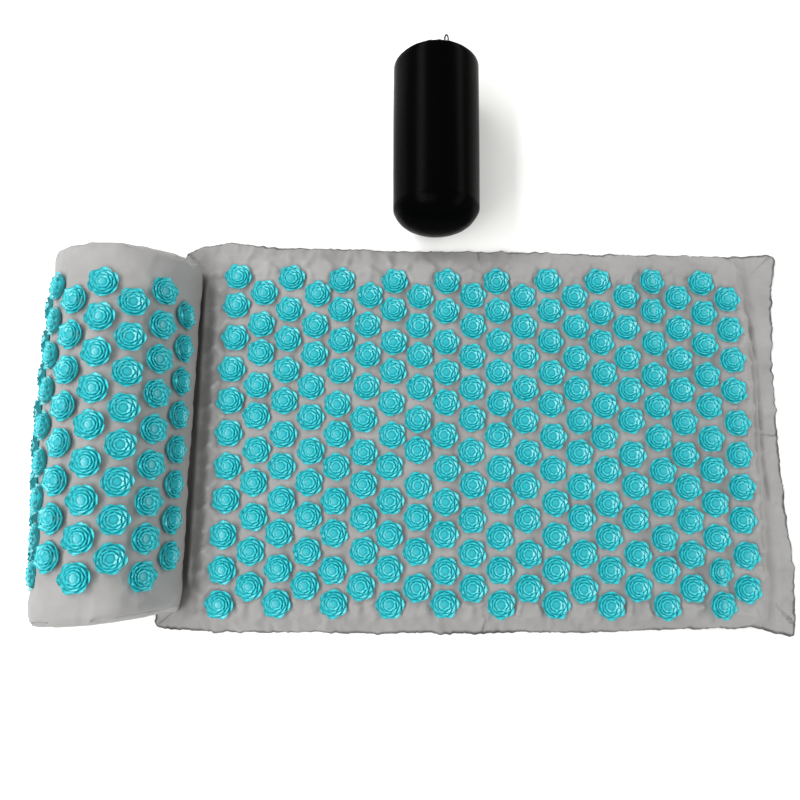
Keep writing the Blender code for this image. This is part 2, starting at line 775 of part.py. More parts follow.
def make_bag_body(frame):
    dome = [(bag_radius * radius, bag_dome_y + bag_dome_depth * reach)
            for radius, reach in zip(bag_dome_radius_shares, bag_dome_reach_shares)]
    neck_start = bag_dome_y + bag_dome_depth
    neck_end = neck_start + bag_neck_length
    middle = (bag_seam_y + bag_dome_y) / 2
    section = [(0, bag_seam_y), (bag_radius, bag_seam_y), (bag_radius, middle)] + dome
    section += [(bag_neck_radius, neck_start + bag_neck_length / 2), (bag_neck_radius, neck_end), (0, neck_end)]
    bm = spin_section(section, bag_sides)
    for vert in bm.verts:
        if vert.co.y > bag_dome_y:
            share = min(1, (vert.co.y - bag_dome_y) / bag_dome_depth)
            radius = math.hypot(vert.co.x, vert.co.z)
            if radius > weld_distance:
                side = round(math.atan2(vert.co.z, vert.co.x) / math.tau * bag_sides)
                fold = 1 - bag_pleat_share * share * (side % 2)
                vert.co.x *= fold
                vert.co.z *= fold
            vert.co.z += bag_neck_rise * share ** 2
    rest_on_floor(bm)
    body = place("bag_body", to_mesh("bag_body", bm), black_nylon, frame)
    shade_round(body)
    return body


def make_bag_base_panel(frame):
    front = bag_seam_y - gap
    dome = [(bag_radius * radius, front - bag_base_depth * reach)
            for radius, reach in zip(bag_base_radius_shares, bag_base_reach_shares)]
    section = [(0, front)] + dome + [(0, front - bag_base_depth)]
    bm = spin_section(section, bag_sides)
    rest_on_floor(bm)
    panel = place("bag_base_panel", to_mesh("bag_base_panel", bm), black_nylon, frame)
    shade_round(panel)
    return panel


# Drawstring and cord lock, in the lock's frame: X along the cord's straight run, Z up the barrel

neck_end_y = bag_dome_y + bag_dome_depth + bag_neck_length
lock_back = cord_turn_radius + strand_spread / 2
lock_y = neck_end_y + gap + max(lock_back, lock_radius + gap)
half_spread = strand_spread / 2
inner_radius = lock_radius - lock_wall
plunger_radius = inner_radius - gap
hole_half_width = half_spread + half_cord + gap
hole_bottom = -half_cord - gap
hole_top = half_cord + gap
spring_room = spring_wire * (2 * spring_curls + 1) + plunger_travel
plunger_bottom = hole_bottom - plunger_foot
barrel_bottom = plunger_bottom - spring_room - gap - lock_floor
barrel_top = barrel_bottom + lock_height


def drawstring_route():
    """Route of the cord from the neck, through the lock, round its loop and back to the neck."""
    start_y = neck_end_y + gap - lock_y
    bend_x = -lock_radius - gap
    far = lock_radius + cord_run
    legs = []
    for side, turn in ((1, cord_turn_radius + strand_spread), (-1, cord_turn_radius)):
        lane = half_spread * side
        leg = [(bend_x - turn * out, start_y + (lane - start_y) * up, 0) for out, up in bend_route_shares]
        legs.append(leg + [(bend_x / 2, lane, 0), (0, lane, 0), (far / 2, lane, 0), (far, lane, 0)])
    loop = [(far + loop_width * across, loop_length * along, loop_lift * lift)
            for across, along, lift in loop_route_shares]
    return [Vector(point) for point in legs[0] + loop + legs[1][::-1]]


def smooth_route(points, samples):
    """Points at even lengths on a Catmull-Rom curve through a route."""
    ends = [2 * points[0] - points[1]] + points + [2 * points[-1] - points[-2]]
    fine = []
    steps = 12
    for a, b, c, d in zip(ends, ends[1:], ends[2:], ends[3:]):
        for step in range(steps):
            t = step / steps
            fine.append(((2 * b) + (c - a) * t + (2 * a - 5 * b + 4 * c - d) * t ** 2
                         + (3 * b - a - 3 * c + d) * t ** 3) / 2)
    fine.append(points[-1])
    lengths = [0]
    for a, b in zip(fine, fine[1:]):
        lengths.append(lengths[-1] + (b - a).length)
    even = []
    index = 0
    for sample in range(samples):
        target = lengths[-1] * sample / (samples - 1)
        while index < len(fine) - 2 and lengths[index + 1] < target:
            index += 1
        span = lengths[index + 1] - lengths[index]
        even.append(fine[index].lerp(fine[index + 1], min(1, (target - lengths[index]) / span)))
    return even, lengths[-1]


def tube(name, points, radius, resolution, material, parent, location=(0, 0, 0)):
    curve = bpy.data.curves.new(name, "CURVE")
    curve.dimensions = "3D"
    curve.bevel_depth = radius
    curve.bevel_resolution = resolution
    curve.use_fill_caps = True
    curve.resolution_u = 1
    spline = curve.splines.new("POLY")
    spline.points.add(len(points) - 1)
    for point, place_at in zip(spline.points, points):
        point.co = (*place_at, 1)
    thing = bpy.data.objects.new(name, curve)
    parts.objects.link(thing)
    curve.materials.append(material)
    thing.parent = parent
    thing.location = location
    return thing


def make_cord_lock(frame):
    """Barrel, plunger and spring. The spring holds the plunger's hole up against the two strands."""
    barrel_frame = place_empty("cord_lock_frame", (0, 0, 0), parent=frame)
    bm = bmesh.new()
    bmesh.ops.create_cone(bm, segments=lock_sides, radius1=lock_radius, radius2=lock_radius,
                          depth=lock_height, cap_ends=True)
    bmesh.ops.translate(bm, vec=(0, 0, barrel_bottom + lock_height / 2), verts=bm.verts)
    barrel = place("cord_lock_barrel", to_mesh("cord_lock_barrel", bm), black_plastic, barrel_frame)
    bore = bmesh.new()
    bore_bottom = barrel_bottom + lock_floor
    bmesh.ops.create_cone(bore, segments=lock_sides, radius1=inner_radius, radius2=inner_radius,
                          depth=lock_height, cap_ends=True)
    bmesh.ops.translate(bore, vec=(0, 0, bore_bottom + lock_height / 2), verts=bore.verts)
    cut_with(barrel, "cord_lock_bore", to_mesh("cord_lock_bore", bore), barrel_frame)
    reach = lock_radius + overrun
    cut_with(barrel, "cord_lock_hole", box_mesh("cord_lock_hole", (-reach, -hole_half_width, hole_bottom),
                                                (reach, hole_half_width, hole_top)), barrel_frame)
    plunger_mesh = bmesh.new()
    bmesh.ops.create_cone(plunger_mesh, segments=lock_sides, radius1=plunger_radius, radius2=plunger_radius,
                          depth=plunger_height, cap_ends=True)
    bmesh.ops.translate(plunger_mesh, vec=(0, 0, plunger_bottom + plunger_height / 2), verts=plunger_mesh.verts)
    plunger = place("cord_lock_plunger", to_mesh("cord_lock_plunger", plunger_mesh), black_plastic, barrel_frame)
    cut_with(plunger, "cord_lock_plunger_hole",
             box_mesh("cord_lock_plunger_hole", (-reach, -hole_half_width, hole_bottom),
                      (reach, hole_half_width, hole_top + plunger_travel)), barrel_frame)
    coil_radius = plunger_radius - spring_wire
    coil_low = bore_bottom + gap + spring_wire / 2
    coil_high = plunger_bottom - gap - spring_wire / 2
    turns = spring_curls * spring_points_per_curl
    coil = []
    for step in range(turns + 1):
        angle = math.tau * step / spring_points_per_curl
        height = coil_low + (coil_high - coil_low) * step / turns
        coil.append((coil_radius * math.cos(angle), coil_radius * math.sin(angle), height))
    tube("cord_lock_spring", coil, spring_wire / 2, 1, spring_steel, barrel_frame)
    for thing in (barrel, plunger):
        shade_round(thing)
    return barrel_frame


def main():
    top = make_mat_top_cover()
    bottom = make_mat_bottom_cover()
    pad = make_mat_foam_pad()
    across = Matrix(((0, 1, 0), (1, 0, 0), (0, 0, -1))).to_euler()
    mat_zip = place_empty("mat_zip_frame", (foam_length / 2 - mat_zip_inset, foam_shift_y, 0), across)
    make_zip("mat_", mat_zip, ("zip_tape_inner", "zip_tape_outer"), bottom, pad)

    lean = math.atan((border_top + gap) / (2 * pillow_radius - pillow_overlap))
    right_foot = Vector((-half_length + pillow_overlap, 0, 0))
    left_foot = right_foot - Vector((2 * pillow_radius * math.cos(lean), 0, 0))
    to_middle = Vector((pillow_radius * math.cos(lean), 0, 0))
    to_middle.rotate(Matrix.Rotation(pillow_turn, 3, "Z"))
    middle = Vector((left_foot.x, pillow_centre_y, pillow_radius * math.sin(lean))) + to_middle
    pillow = place_empty("pillow_frame", middle, (0, -lean, pillow_turn))
    cover = make_pillow_top_cover(pillow)
    core = make_pillow_core(pillow)
    make_pillow_base_panel(pillow)
    make_pillow_end("pillow_end_near", pillow, -1)
    make_pillow_end("pillow_end_far", pillow, 1)
    upright = Matrix(((0, 0, -1), (1, 0, 0), (0, -1, 0))).to_euler()
    pillow_zip = place_empty("pillow_zip_frame", (-pillow_radius, 0, pillow_zip_height), upright, pillow)
    make_zip("pillow_", pillow_zip, ("zip_tape_upper", "zip_tape_lower"), cover, core)

    bag = place_empty("bag_frame", (bag_x, 0, bag_radius - bag_floor_cut))
    make_bag_body(bag)
    make_bag_base_panel(bag)
    lock = place_empty("drawstring_frame", (lock_shift_x, lock_y, bag_neck_rise), parent=bag)
    points, cord_length = smooth_route(drawstring_route(), cord_samples)
    tube("bag_drawstring", points, half_cord, 2, black_nylon, lock)
    make_cord_lock(lock)
    print("drawstring length", round(cord_length, 4))
    return top


main()
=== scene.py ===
# %% [markdown]
# The measured solids come first: a padded mat, a half-round neck pillow that rests on its border,
# and a round carry bag. Every piece below is fitted to them.

# %% Load the frame
import math
import random

import bmesh
import bpy
import numpy as np
from mathutils import Euler, Matrix, Vector, noise
from mathutils.bvhtree import BVHTree
from mathutils.kdtree import KDTree


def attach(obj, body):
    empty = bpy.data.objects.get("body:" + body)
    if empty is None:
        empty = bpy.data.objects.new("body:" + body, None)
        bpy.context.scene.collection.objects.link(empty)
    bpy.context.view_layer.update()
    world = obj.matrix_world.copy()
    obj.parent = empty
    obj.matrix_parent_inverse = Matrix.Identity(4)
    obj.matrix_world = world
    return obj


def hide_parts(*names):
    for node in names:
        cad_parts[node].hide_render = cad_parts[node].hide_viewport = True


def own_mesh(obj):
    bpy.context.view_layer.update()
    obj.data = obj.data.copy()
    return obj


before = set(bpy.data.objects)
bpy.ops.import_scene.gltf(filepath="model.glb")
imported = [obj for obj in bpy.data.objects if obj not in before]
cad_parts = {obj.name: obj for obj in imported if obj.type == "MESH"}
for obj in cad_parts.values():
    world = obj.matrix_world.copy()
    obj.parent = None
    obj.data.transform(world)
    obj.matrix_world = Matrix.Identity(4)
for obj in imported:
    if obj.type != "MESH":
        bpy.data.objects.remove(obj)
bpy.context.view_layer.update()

print("solids:", sorted(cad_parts))

# %% [markdown]
# Colours are written as hex values, as a paint chart gives them. Shaders work in linear light, so
# one function turns them. Another adds a shader node with its settings and links, which keeps every
# material short.

# %% Colour and shader helpers
MM = 0.001


def clamp(value):
    return min(max(value, 0), 1)


def only(items, kind):
    """The items of one bmesh kind."""
    return [item for item in items if isinstance(item, kind)]


def linear(code):
    """Turn an sRGB hex colour into the linear red, green, blue and alpha of a shader."""
    channels = [int(code[place:place + 2], 16) / 255 for place in (0, 2, 4)]
    straight = [c / 12.92 if c <= 0.04045 else ((c + 0.055) / 1.055) ** 2.4 for c in channels]
    return (*straight, 1.0)


def add_node(tree, kind, settings=None, links=None):
    """Add a shader node, set its options and sockets, and link other nodes' outputs to it."""
    made = tree.nodes.new("ShaderNode" + kind)
    for name, value in (settings or {}).items():
        if isinstance(name, int) or name in made.inputs:
            made.inputs[name].default_value = value
        else:
            setattr(made, name, value)
    for name, source in (links or {}).items():
        tree.links.new(source, made.inputs[name])
    return made


def new_material(name, settings):
    """A material with its Principled shader's own sockets set. Returns it, its tree and its shader."""
    material = bpy.data.materials.new(name)
    material.use_nodes = True
    tree = material.node_tree
    shader = tree.nodes["Principled BSDF"]
    for socket, value in settings.items():
        shader.inputs[socket].default_value = value
    return material, tree, shader


def add_ramp(tree, source, *stops):
    """A colour ramp over a value, with stops of (place, hex colour): first, last and any between."""
    ramp = add_node(tree, "ValToRGB", links={"Fac": source})
    for index, (place, code) in enumerate(stops):
        stop = ramp.color_ramp.elements[index] if index < 2 else ramp.color_ramp.elements.new(place)
        stop.position = place
        stop.color = linear(code)
    return ramp


def bands_scale(pitch):
    """The Wave texture's scale for bands that repeat at this pitch in metres."""
    return math.tau / (20 * pitch)


def raise_surface(tree, shader, height, strength, depth):
    """Let a value raise the surface by up to a depth in metres."""
    rise = add_node(tree, "Bump", {"Strength": strength, "Distance": depth}, {"Height": height})
    tree.links.new(rise.outputs["Normal"], shader.inputs["Normal"])


def relief_finish(name, settings, pattern, pattern_settings, strength, depth):
    """A one-coloured finish with a texture for its relief."""
    material, tree, shader = new_material(name, settings)
    spot = add_node(tree, "TexCoord")
    height = add_node(tree, pattern, pattern_settings, {"Vector": spot.outputs["Object"]})
    raise_surface(tree, shader, height.outputs["Fac"], strength, depth)
    return material


print("mid grey in linear light:", round(linear("808080")[0], 3))

# %% [markdown]
# The camera stands where the photographer stood: high over the left half of the mat and tipped
# a little towards the bag. Its place was found by fitting one camera to the rows of discs. A long
# narrow soft box on each side draws the two bands of sheen on the black bag, in a bright even room.
# Plain colour management keeps the strong turquoise and the white paper as they are.

# %% Camera, floor and lights
scene = bpy.context.scene


def new_object(name, data):
    """Put some data into the scene as an object."""
    made = bpy.data.objects.new(name, data)
    scene.collection.objects.link(made)
    return made


def mesh_from(name, bm):
    """Turn a bmesh into mesh data."""
    data = bpy.data.meshes.new(name)
    bm.to_mesh(data)
    bm.free()
    return data


def new_piece(name, bm, material):
    """Turn a bmesh into a linked piece with one material."""
    data = mesh_from(name, bm)
    data.materials.append(material)
    return new_object(name, data)


camera_place = Vector((-104.5, -80.5, 710.0)) * MM
camera_turns = [math.radians(angle) for angle in (-9.16, 1.32, -0.72)]
focal_length_mm = 29.25
sensor_width_mm = 36.0
floor_half = 6.0
floor_drop = 0.6 * MM
room_strength = 0.465

lens = bpy.data.cameras.new("photo_lens")
lens.sensor_width = sensor_width_mm
lens.lens = focal_length_mm
lens.clip_start = 0.01
camera = new_object("photo_camera", lens)
world_to_camera = Euler(camera_turns, "XYZ").to_matrix()
camera.matrix_world = Matrix.Translation(camera_place) @ world_to_camera.transposed().to_4x4()
scene.camera = camera

floor_mesh = bmesh.new()
bmesh.ops.create_grid(floor_mesh, x_segments=1, y_segments=1, size=floor_half)
bmesh.ops.translate(floor_mesh, vec=(0, 0, -floor_drop), verts=floor_mesh.verts)
paper, tree, shader = new_material("matte_white_paper", {"Base Color": linear("F4F4F2"), "Roughness": 0.95})
studio_floor = new_piece("studio_floor", floor_mesh, paper)


def soft_box(name, place, aim, size, watts):
    """A rectangular area light that faces a point."""
    lamp = bpy.data.lights.new(name, "AREA")
    lamp.shape = "RECTANGLE"
    lamp.size, lamp.size_y = size
    lamp.energy = watts
    made = new_object(name, lamp)
    made.location = place
    made.rotation_euler = (Vector(aim) - Vector(place)).to_track_quat("-Z", "Y").to_euler()


soft_box("left_soft_box", (-1.15, 0.6, 1.2), (-0.05, 0.6, 0.05), (4.0, 0.42), 50)
soft_box("right_soft_box", (1.30, 0.6, 0.78), (-0.05, 0.6, 0.05), (4.0, 0.40), 25)
soft_box("top_soft_box", (-0.8, -0.95, 1.5), (-0.05, 0.1, 0), (1.2, 1.0), 9)
room = bpy.data.worlds.new("bright_room")
room.use_nodes = True
backdrop = room.node_tree.nodes["Background"].inputs
backdrop["Color"].default_value = linear("FAFAF8")
backdrop["Strength"].default_value = room_strength
scene.world = room
scene.view_settings.view_transform = "Standard"
print("camera stands at", tuple(round(value, 4) for value in camera_place))

# %% [markdown]
# The drawstring comes out of the gathered mouth, runs through the spring lock and ends in a small
# stiff loop. A curve with a round bevel is the natural tool. Its points follow the solid cord's route,
# a smooth curve through a few given places. The braid swells a little where it is free.

# %% Drawstring
cord_diameter = 1.3 * MM
free_swell = 0.3
swell_reach = 3 * MM
cord_origin = Vector((-50.0, 422.2, 66.0)) * MM
strand_offset = 0.85 * MM
neck_face_y = -3.4 * MM
lock_side = 3.1 * MM
loop_start = 5.5 * MM
loop_width = 4.2 * MM
loop_length = 9.5 * MM
loop_lift = 1.5 * MM
outer_bend = 4.1 * MM
inner_bend = 2.4 * MM
bend_shares = ((1.0, 0.0), (0.94, 0.42), (0.62, 0.80), (0.25, 0.97), (0.0, 1.0))
loop_shares = ((0.17, 0.15, 0.05), (0.27, 0.34, 0.2), (0.22, 0.62, 0.5), (0.34, 0.88, 0.85),
               (0.62, 1.0, 1.0), (0.94, 0.90, 0.85), (1.12, 0.62, 0.5), (1.06, 0.30, 0.2),
               (0.82, 0.06, 0.05), (0.45, -0.08, 0.0))


def cord_leg(lane, turn):
    """One strand from the mouth, round a bend and straight through the lock."""
    bend_x = -lock_side - 0.3 * MM
    leg = [(bend_x - turn * out, neck_face_y + (lane - neck_face_y) * up, 0) for out, up in bend_shares]
    return leg + [(bend_x / 2, lane, 0), (0, lane, 0), (loop_start / 2, lane, 0), (loop_start, lane, 0)]


def smooth_points(points, count):
    """Evenly spaced points on a Catmull-Rom curve, and the curve's length."""
    ends = [2 * points[0] - points[1]] + points + [2 * points[-1] - points[-2]]
    fine = []
    for a, b, c, d in zip(ends, ends[1:], ends[2:], ends[3:]):
        for t in (step / 16 for step in range(16)):
            fine.append((2 * b + (c - a) * t + (2 * a - 5 * b + 4 * c - d) * t ** 2
                         + (3 * b - a - 3 * c + d) * t ** 3) / 2)
    fine.append(points[-1])
    reach = np.cumsum([0] + [(b - a).length for a, b in zip(fine, fine[1:])])
    targets = np.linspace(0, reach[-1], count)
    even = zip(*(np.interp(targets, reach, values) for values in zip(*fine)))
    return [Vector(place) for place in even], float(reach[-1])


route = cord_leg(strand_offset, outer_bend)
route += [(loop_start + loop_width * across, loop_length * along, loop_lift * lift)
          for across, along, lift in loop_shares]
route += cord_leg(-strand_offset, inner_bend)[::-1]
cord_points, cord_length = smooth_points([Vector(point) for point in route], 110)
cord_curve = bpy.data.curves.new("drawstring", "CURVE")
cord_curve.dimensions = "3D"
cord_curve.bevel_depth = cord_diameter / 2
cord_curve.bevel_resolution = 3
cord_curve.use_fill_caps = True
spline = cord_curve.splines.new("POLY")
spline.points.add(len(cord_points) - 1)
for point, place in zip(spline.points, cord_points):
    point.co = (*(cord_origin + place), 1)
    point.radius = 1 + free_swell * clamp((place.x - lock_side) / swell_reach)
drawstring = new_object("drawstring", cord_curve)
print("drawstring length in mm:", round(cord_length / MM, 1))

# Braided nylon: a dull black with a fine diagonal rib from the crossing yarns, drawn 0.9 mm apart.
braided_nylon = relief_finish(
    "braided_black_nylon",
    {"Base Color": linear("040404"), "Roughness": 0.8, "IOR": 1.53, "Specular IOR Level": 0.2},
    "TexWave", {"bands_direction": "DIAGONAL", "Scale": bands_scale(0.9 * MM)}, 0.6, 0.15 * MM)
cord_curve.materials.append(braided_nylon)
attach(drawstring, "bag")
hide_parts("bag_drawstring")

# %% [markdown]
# The discs are injection mouldings in glossy ABS. Each is a lotus: four rings of six upright petals
# round a small bud, every ring turned half a petal from the last. There are hundreds, so the shape
# must stay light. A circle of twelve points is raised and inset again and again, and each ring's
# points are moved out and up, by turns a petal's tip and the notch beside it. A point halfway along
# each rim edge rounds the petals, and the two faces of each petal become one.

# %% Lotus disc
disc_radius = 14.05 * MM
disc_sink = 0.5 * MM
# Each ring from the foot to the bud: its radius as a share of the disc's and its height in mm, first at
# the tips of the outer petals and then at the notches between them. A rim also has points halfway.
lotus_rings = (
    ((0.86, 0.0), (0.86, 0.0)),
    ((1.065, 5.2), (0.945, 2.4), (1.035, 3.8)),
    ((0.85, 3.0), (0.89, 2.6)),
    ((0.715, 3.9), (0.885, 6.2), (0.805, 5.1)),
    ((0.66, 3.8), (0.68, 4.0)),
    ((0.71, 6.8), (0.545, 4.6), (0.62, 5.8)),
    ((0.50, 4.4), (0.49, 4.3)),
    ((0.355, 5.2), (0.505, 7.0), (0.425, 6.2)),
    ((0.29, 4.8), (0.29, 4.8)),
    ((0.21, 6.0), (0.12, 5.2)),
    ((0.07, 5.6), (0.07, 5.6)),
)
ring_points = 12
# How much painted light the foot and the bud's two rings get. The others are 1 on a rim, painted as a
# highlight, and 0 in a hollow, painted as shade.
painted_light_by_ring = {0: 0.4, 9: 0.35, 10: 0.35}


def lotus_mesh():
    """One disc with its foot just below Z = 0. An attribute is 1 along the petals' rims, where the material
    paints a highlight, and 0 in the hollows, where it paints shade.
    """
    bm = bmesh.new()
    painted_rim_light = bm.verts.layers.float.new("rim")
    ring_number = bm.verts.layers.int.new("ring")
    bmesh.ops.create_circle(bm, cap_ends=True, segments=ring_points, radius=disc_radius)
    foot = bmesh.ops.extrude_face_region(bm, geom=bm.faces[:])
    crown = only(foot["geom"], bmesh.types.BMFace)[0]
    for number in range(1, len(lotus_rings)):
        if number > 1:
            bmesh.ops.inset_individual(bm, faces=[crown], thickness=0.1 * MM)
        for vert in crown.verts:
            vert[ring_number] = number
    rims = []
    ribs = []
    for edge in bm.edges:
        low, high = sorted(vert[ring_number] for vert in edge.verts)
        spoke = round(around(edge.verts[0]) / (math.tau / ring_points))
        if low == high and len(lotus_rings[low]) == 3:
            rims.append(edge)
        elif low < high and (spoke + (high - 1) // 2) % 2 == 0:
            ribs.append(edge)
    bmesh.ops.dissolve_edges(bm, edges=ribs, use_verts=False)
    rims = [edge for edge in rims if edge.is_valid]
    bmesh.ops.bisect_edges(bm, edges=rims, cuts=1)
    for number, heights in enumerate(lotus_rings):
        ring = sorted((vert for vert in bm.verts if vert[ring_number] == number), key=around)
        step = len(ring) // ring_points
        for index, vert in enumerate(ring):
            share, tall = heights[index // step % 2] if index % step == 0 else heights[2]
            angle = math.tau * index / len(ring)
            lift = tall * MM if tall else -disc_sink
            vert.co = (disc_radius * share * math.cos(angle), disc_radius * share * math.sin(angle), lift)
            # The rim value carries painted light: 1 gives a painted highlight on a rim, 0 painted shade in a
            # hollow.
            vert[painted_rim_light] = painted_light_by_ring.get(number, step - 1)
    bmesh.ops.recalc_face_normals(bm, faces=bm.faces)
    return bm


def around(vert):
    """Angle of a vertex about Z, from a little below zero."""
    return (math.atan2(vert.co.y, vert.co.x) + 0.1) % math.tau


lotus_data = mesh_from("lotus_disc", lotus_mesh())
print("faces in one disc:", len(lotus_data.polygons), "and vertices:", len(lotus_data.vertices))

# Moulded ABS: a strong even turquoise with a polished tool's gloss. A painted highlight makes it paler
# along the rims, and painted shade makes it deeper in the hollows. The slight ripple stands for the sink
# marks of a quick moulding.
moulded_abs, tree, shader = new_material("moulded_turquoise_abs", {"Roughness": 0.33, "IOR": 1.54})
# Painted light: the ramp keeps the turquoise between, lightens it on the rims as a highlight and darkens it
# in the hollows as shade.
tall = add_node(tree, "Attribute", {"attribute_name": "rim"})
shade = add_ramp(tree, tall.outputs["Fac"], (0.05, "088690"), (0.95, "38C0C8"), (0.4, "19A3AC"))
spot = add_node(tree, "TexCoord")
sink = add_node(tree, "TexNoise", {"Scale": 320.0, "Detail": 2.0}, {"Vector": spot.outputs["Object"]})
tree.links.new(shade.outputs["Color"], shader.inputs["Base Color"])
raise_surface(tree, shader, sink.outputs["Fac"], 0.25, 0.25 * MM)

# %% [markdown]
# The mat's cover is thin sanded cotton, sewn inside out all round, so it ends in a knife edge. It is
# bigger than the foam and lies slack round it. We start from two flat grids that share their outer
# edge. The top one is lifted over the foam, held down at every disc and blown up a little by the
# cloth solver. Creases are added afterwards, on the finer mesh.

# %% Mat outline and heights
mat_half_x = 340 * MM
mat_half_y = 210 * MM
foam_half_x = 295 * MM
foam_half_y = 194 * MM
foam_middle_y = -4 * MM
shoulder = 8 * MM
skirt = 13 * MM
border_top = 2.5 * MM
pad_top = 19.7 * MM
pad_crown = 1.2 * MM
seam_height = 0.8 * MM
seam_strip_u = 0.014
seam_strip_v = 0.022
# Where the four sides run, in mm, read from end to end at even steps
left_side_mm = (-341.5, -338.0, -336.0, -335.0, -334.5, -334.5, -333.5)
right_side_mm = (335.0, 338.0, 334.2, 332.5, 333.0, 337.0, 345.5)
near_side_mm = (-210.0, -213.0, -213.0, -213.0, -214.0, -213.5, -214.0, -212.0, -212.5, -210.0, -208.0,
                -206.0, -216.0)
far_side_mm = (207.5, 212.5, 208.8, 207.8, 207.3, 207.5, 208.5, 208.5, 207.5, 206.5, 207.0, 207.5, 211.0)
# At each corner the seam is drawn in over a short reach: (reach, how far across, how far along), in mm
near_corner_mm = (9, 2.2, 2.2)
far_left_corner_mm = (24, 3, 8)


def along_side(side, share):
    """Read a side's table at a share of its length."""
    place = clamp(share) * (len(side) - 1)
    index = min(int(place), len(side) - 2)
    t = place - index
    t = t * t * (3 - 2 * t)
    return (side[index] * (1 - t) + side[index + 1] * t) * MM


def mat_place(u, v):
    """Where a point of the flat grid, with u and v from 0 to 1, lies inside the four sides."""
    left = along_side(left_side_mm, v)
    right = along_side(right_side_mm, v)
    near = along_side(near_side_mm, u)
    far = along_side(far_side_mm, u)
    reach, across, along = (far_left_corner_mm if u < 0.5 < v else near_corner_mm)
    from_end = max(0, 1 - min(u, 1 - u) * 2 * mat_half_x / (reach * MM))
    from_side = max(0, 1 - min(v, 1 - v) * 2 * mat_half_y / (reach * MM))
    draw_in = from_end * from_side * MM
    x = left + (right - left) * u + math.copysign(draw_in * across, 0.5 - u)
    y = near + (far - near) * v + math.copysign(draw_in * along, 0.5 - v)
    return x, y


def pad_share(x, y):
    """0 on the flat border and 1 on the foam, with a soft shoulder between."""
    over_x = max(abs(x) - (foam_half_x - shoulder), 0)
    over_y = max(abs(y - foam_middle_y) - (foam_half_y - shoulder), 0)
    t = min(math.hypot(over_x, over_y) / (shoulder + skirt), 1)
    return (1 - t) ** 2 * (1 + 2 * t)


def cover_height(x, y, u, v):
    """The height over the border and the foam, falling to the seam's over a narrow strip."""
    crown = max(0, 1 - (x / foam_half_x) ** 2) * max(0, 1 - ((y - foam_middle_y) / foam_half_y) ** 2)
    top = border_top + (pad_top - border_top) * pad_share(x, y) + pad_crown * crown
    inside = min(min(u, 1 - u) / seam_strip_u, min(v, 1 - v) / seam_strip_v, 1)
    return seam_height + (top - seam_height) * math.sin(inside * math.pi / 2)


column_pitch = 28.6 * MM
row_pitch = 34.7 * MM
disc_field = Vector((2.5, -6.5)) * MM
most_slide = 2.2 * MM
least_sag = 0.9 * MM
far_sag = 2.8 * MM
place_spread = 0.7 * MM


def staggered(columns, rows):
    """Column, row and distance along the column, where even columns hold one disc more."""
    for column in range(columns):
        count = rows - column % 2
        for row in range(count):
            yield column, row, (row - (count - 1) / 2) * row_pitch


def drawn_along(x, y):
    """Where a disc really lies: the slack cloth has slid and sagged a little over the far half."""
    far = clamp(y / (150 * MM))
    slide = most_slide * far * clamp(1 - x / (120 * MM))
    sag = least_sag + far_sag * far * math.exp(-((x + 120 * MM) / (130 * MM)) ** 2)
    return x + slide + scatter.gauss(0, place_spread), y - sag + scatter.gauss(0, place_spread)


scatter = random.Random(5)
mat_field = {}
for column, row, along in staggered(20, 11):
    x = (column - 9.5) * column_pitch + disc_field.x
    mat_field[column, row] = drawn_along(x, along + disc_field.y)
mat_disc_places = list(mat_field.values())
print("discs on the mat:", len(mat_disc_places))

# %% Mat cover, as two grids joined at the seam
cells_x = 136
cells_y = 84


def read_places(data):
    places = np.empty(len(data.vertices) * 3, np.float32)
    data.vertices.foreach_get("co", places)
    return places.reshape(-1, 3)


def write_places(data, places):
    data.vertices.foreach_set("co", np.asarray(places, np.float32).ravel())
    data.update()


# Sanded cotton: matte, with a short nap that catches light at a low angle. The real threads are
# 0.35 mm apart, too fine to show, so they are drawn 1.1 mm apart. Dyeing leaves faint cloudy patches.
# Near a seam the needle gathers the cloth into small ripples, and the edge itself drops and is darkened with
# painted shade.
sanded_cotton, tree, shader = new_material(
    "sanded_grey_cotton", {"Roughness": 0.92, "IOR": 1.5, "Sheen Weight": 0.12, "Sheen Roughness": 0.5})
flat = add_node(tree, "Attribute", {"attribute_name": "weave"})
on_cloth = {"Vector": flat.outputs["Vector"]}
clouds = add_node(tree, "TexNoise", {"Scale": 22.0, "Detail": 4.0}, on_cloth)
fuzz = add_node(tree, "TexNoise", {"Scale": 900.0, "Detail": 3.0}, on_cloth)
yarn_waves = {"Scale": bands_scale(1.1 * MM), "Distortion": 0.6}
warp, weft = (add_node(tree, "TexWave", {"bands_direction": way, **yarn_waves}, on_cloth) for way in "XY")
threads = add_node(tree, "Math", {"operation": "MULTIPLY"}, {0: warp.outputs["Fac"], 1: weft.outputs["Fac"]})
nap = add_node(tree, "Math", {"operation": "ADD"}, {0: threads.outputs[0], 1: fuzz.outputs["Fac"]})
cloth_bump = add_node(tree, "Bump", {"Strength": 0.35, "Distance": 0.12 * MM}, {"Height": nap.outputs[0]})
hem = add_node(tree, "Attribute", {"attribute_name": "hem"})
hem_parts = add_node(tree, "SeparateXYZ", links={"Vector": hem.outputs["Vector"]})
along_hem = add_node(tree, "CombineXYZ", links={"X": hem_parts.outputs["X"], "Y": hem_parts.outputs["Y"]})
ripples = add_node(
    tree, "TexNoise", {"noise_type": "RIDGED_MULTIFRACTAL", "Scale": 75.0, "Detail": 2.0, "Roughness": 0.4},
    {"Vector": along_hem.outputs["Vector"]})
gathers = add_node(
    tree, "Math", {"operation": "MULTIPLY"}, {0: ripples.outputs["Fac"], 1: hem_parts.outputs["Z"]})
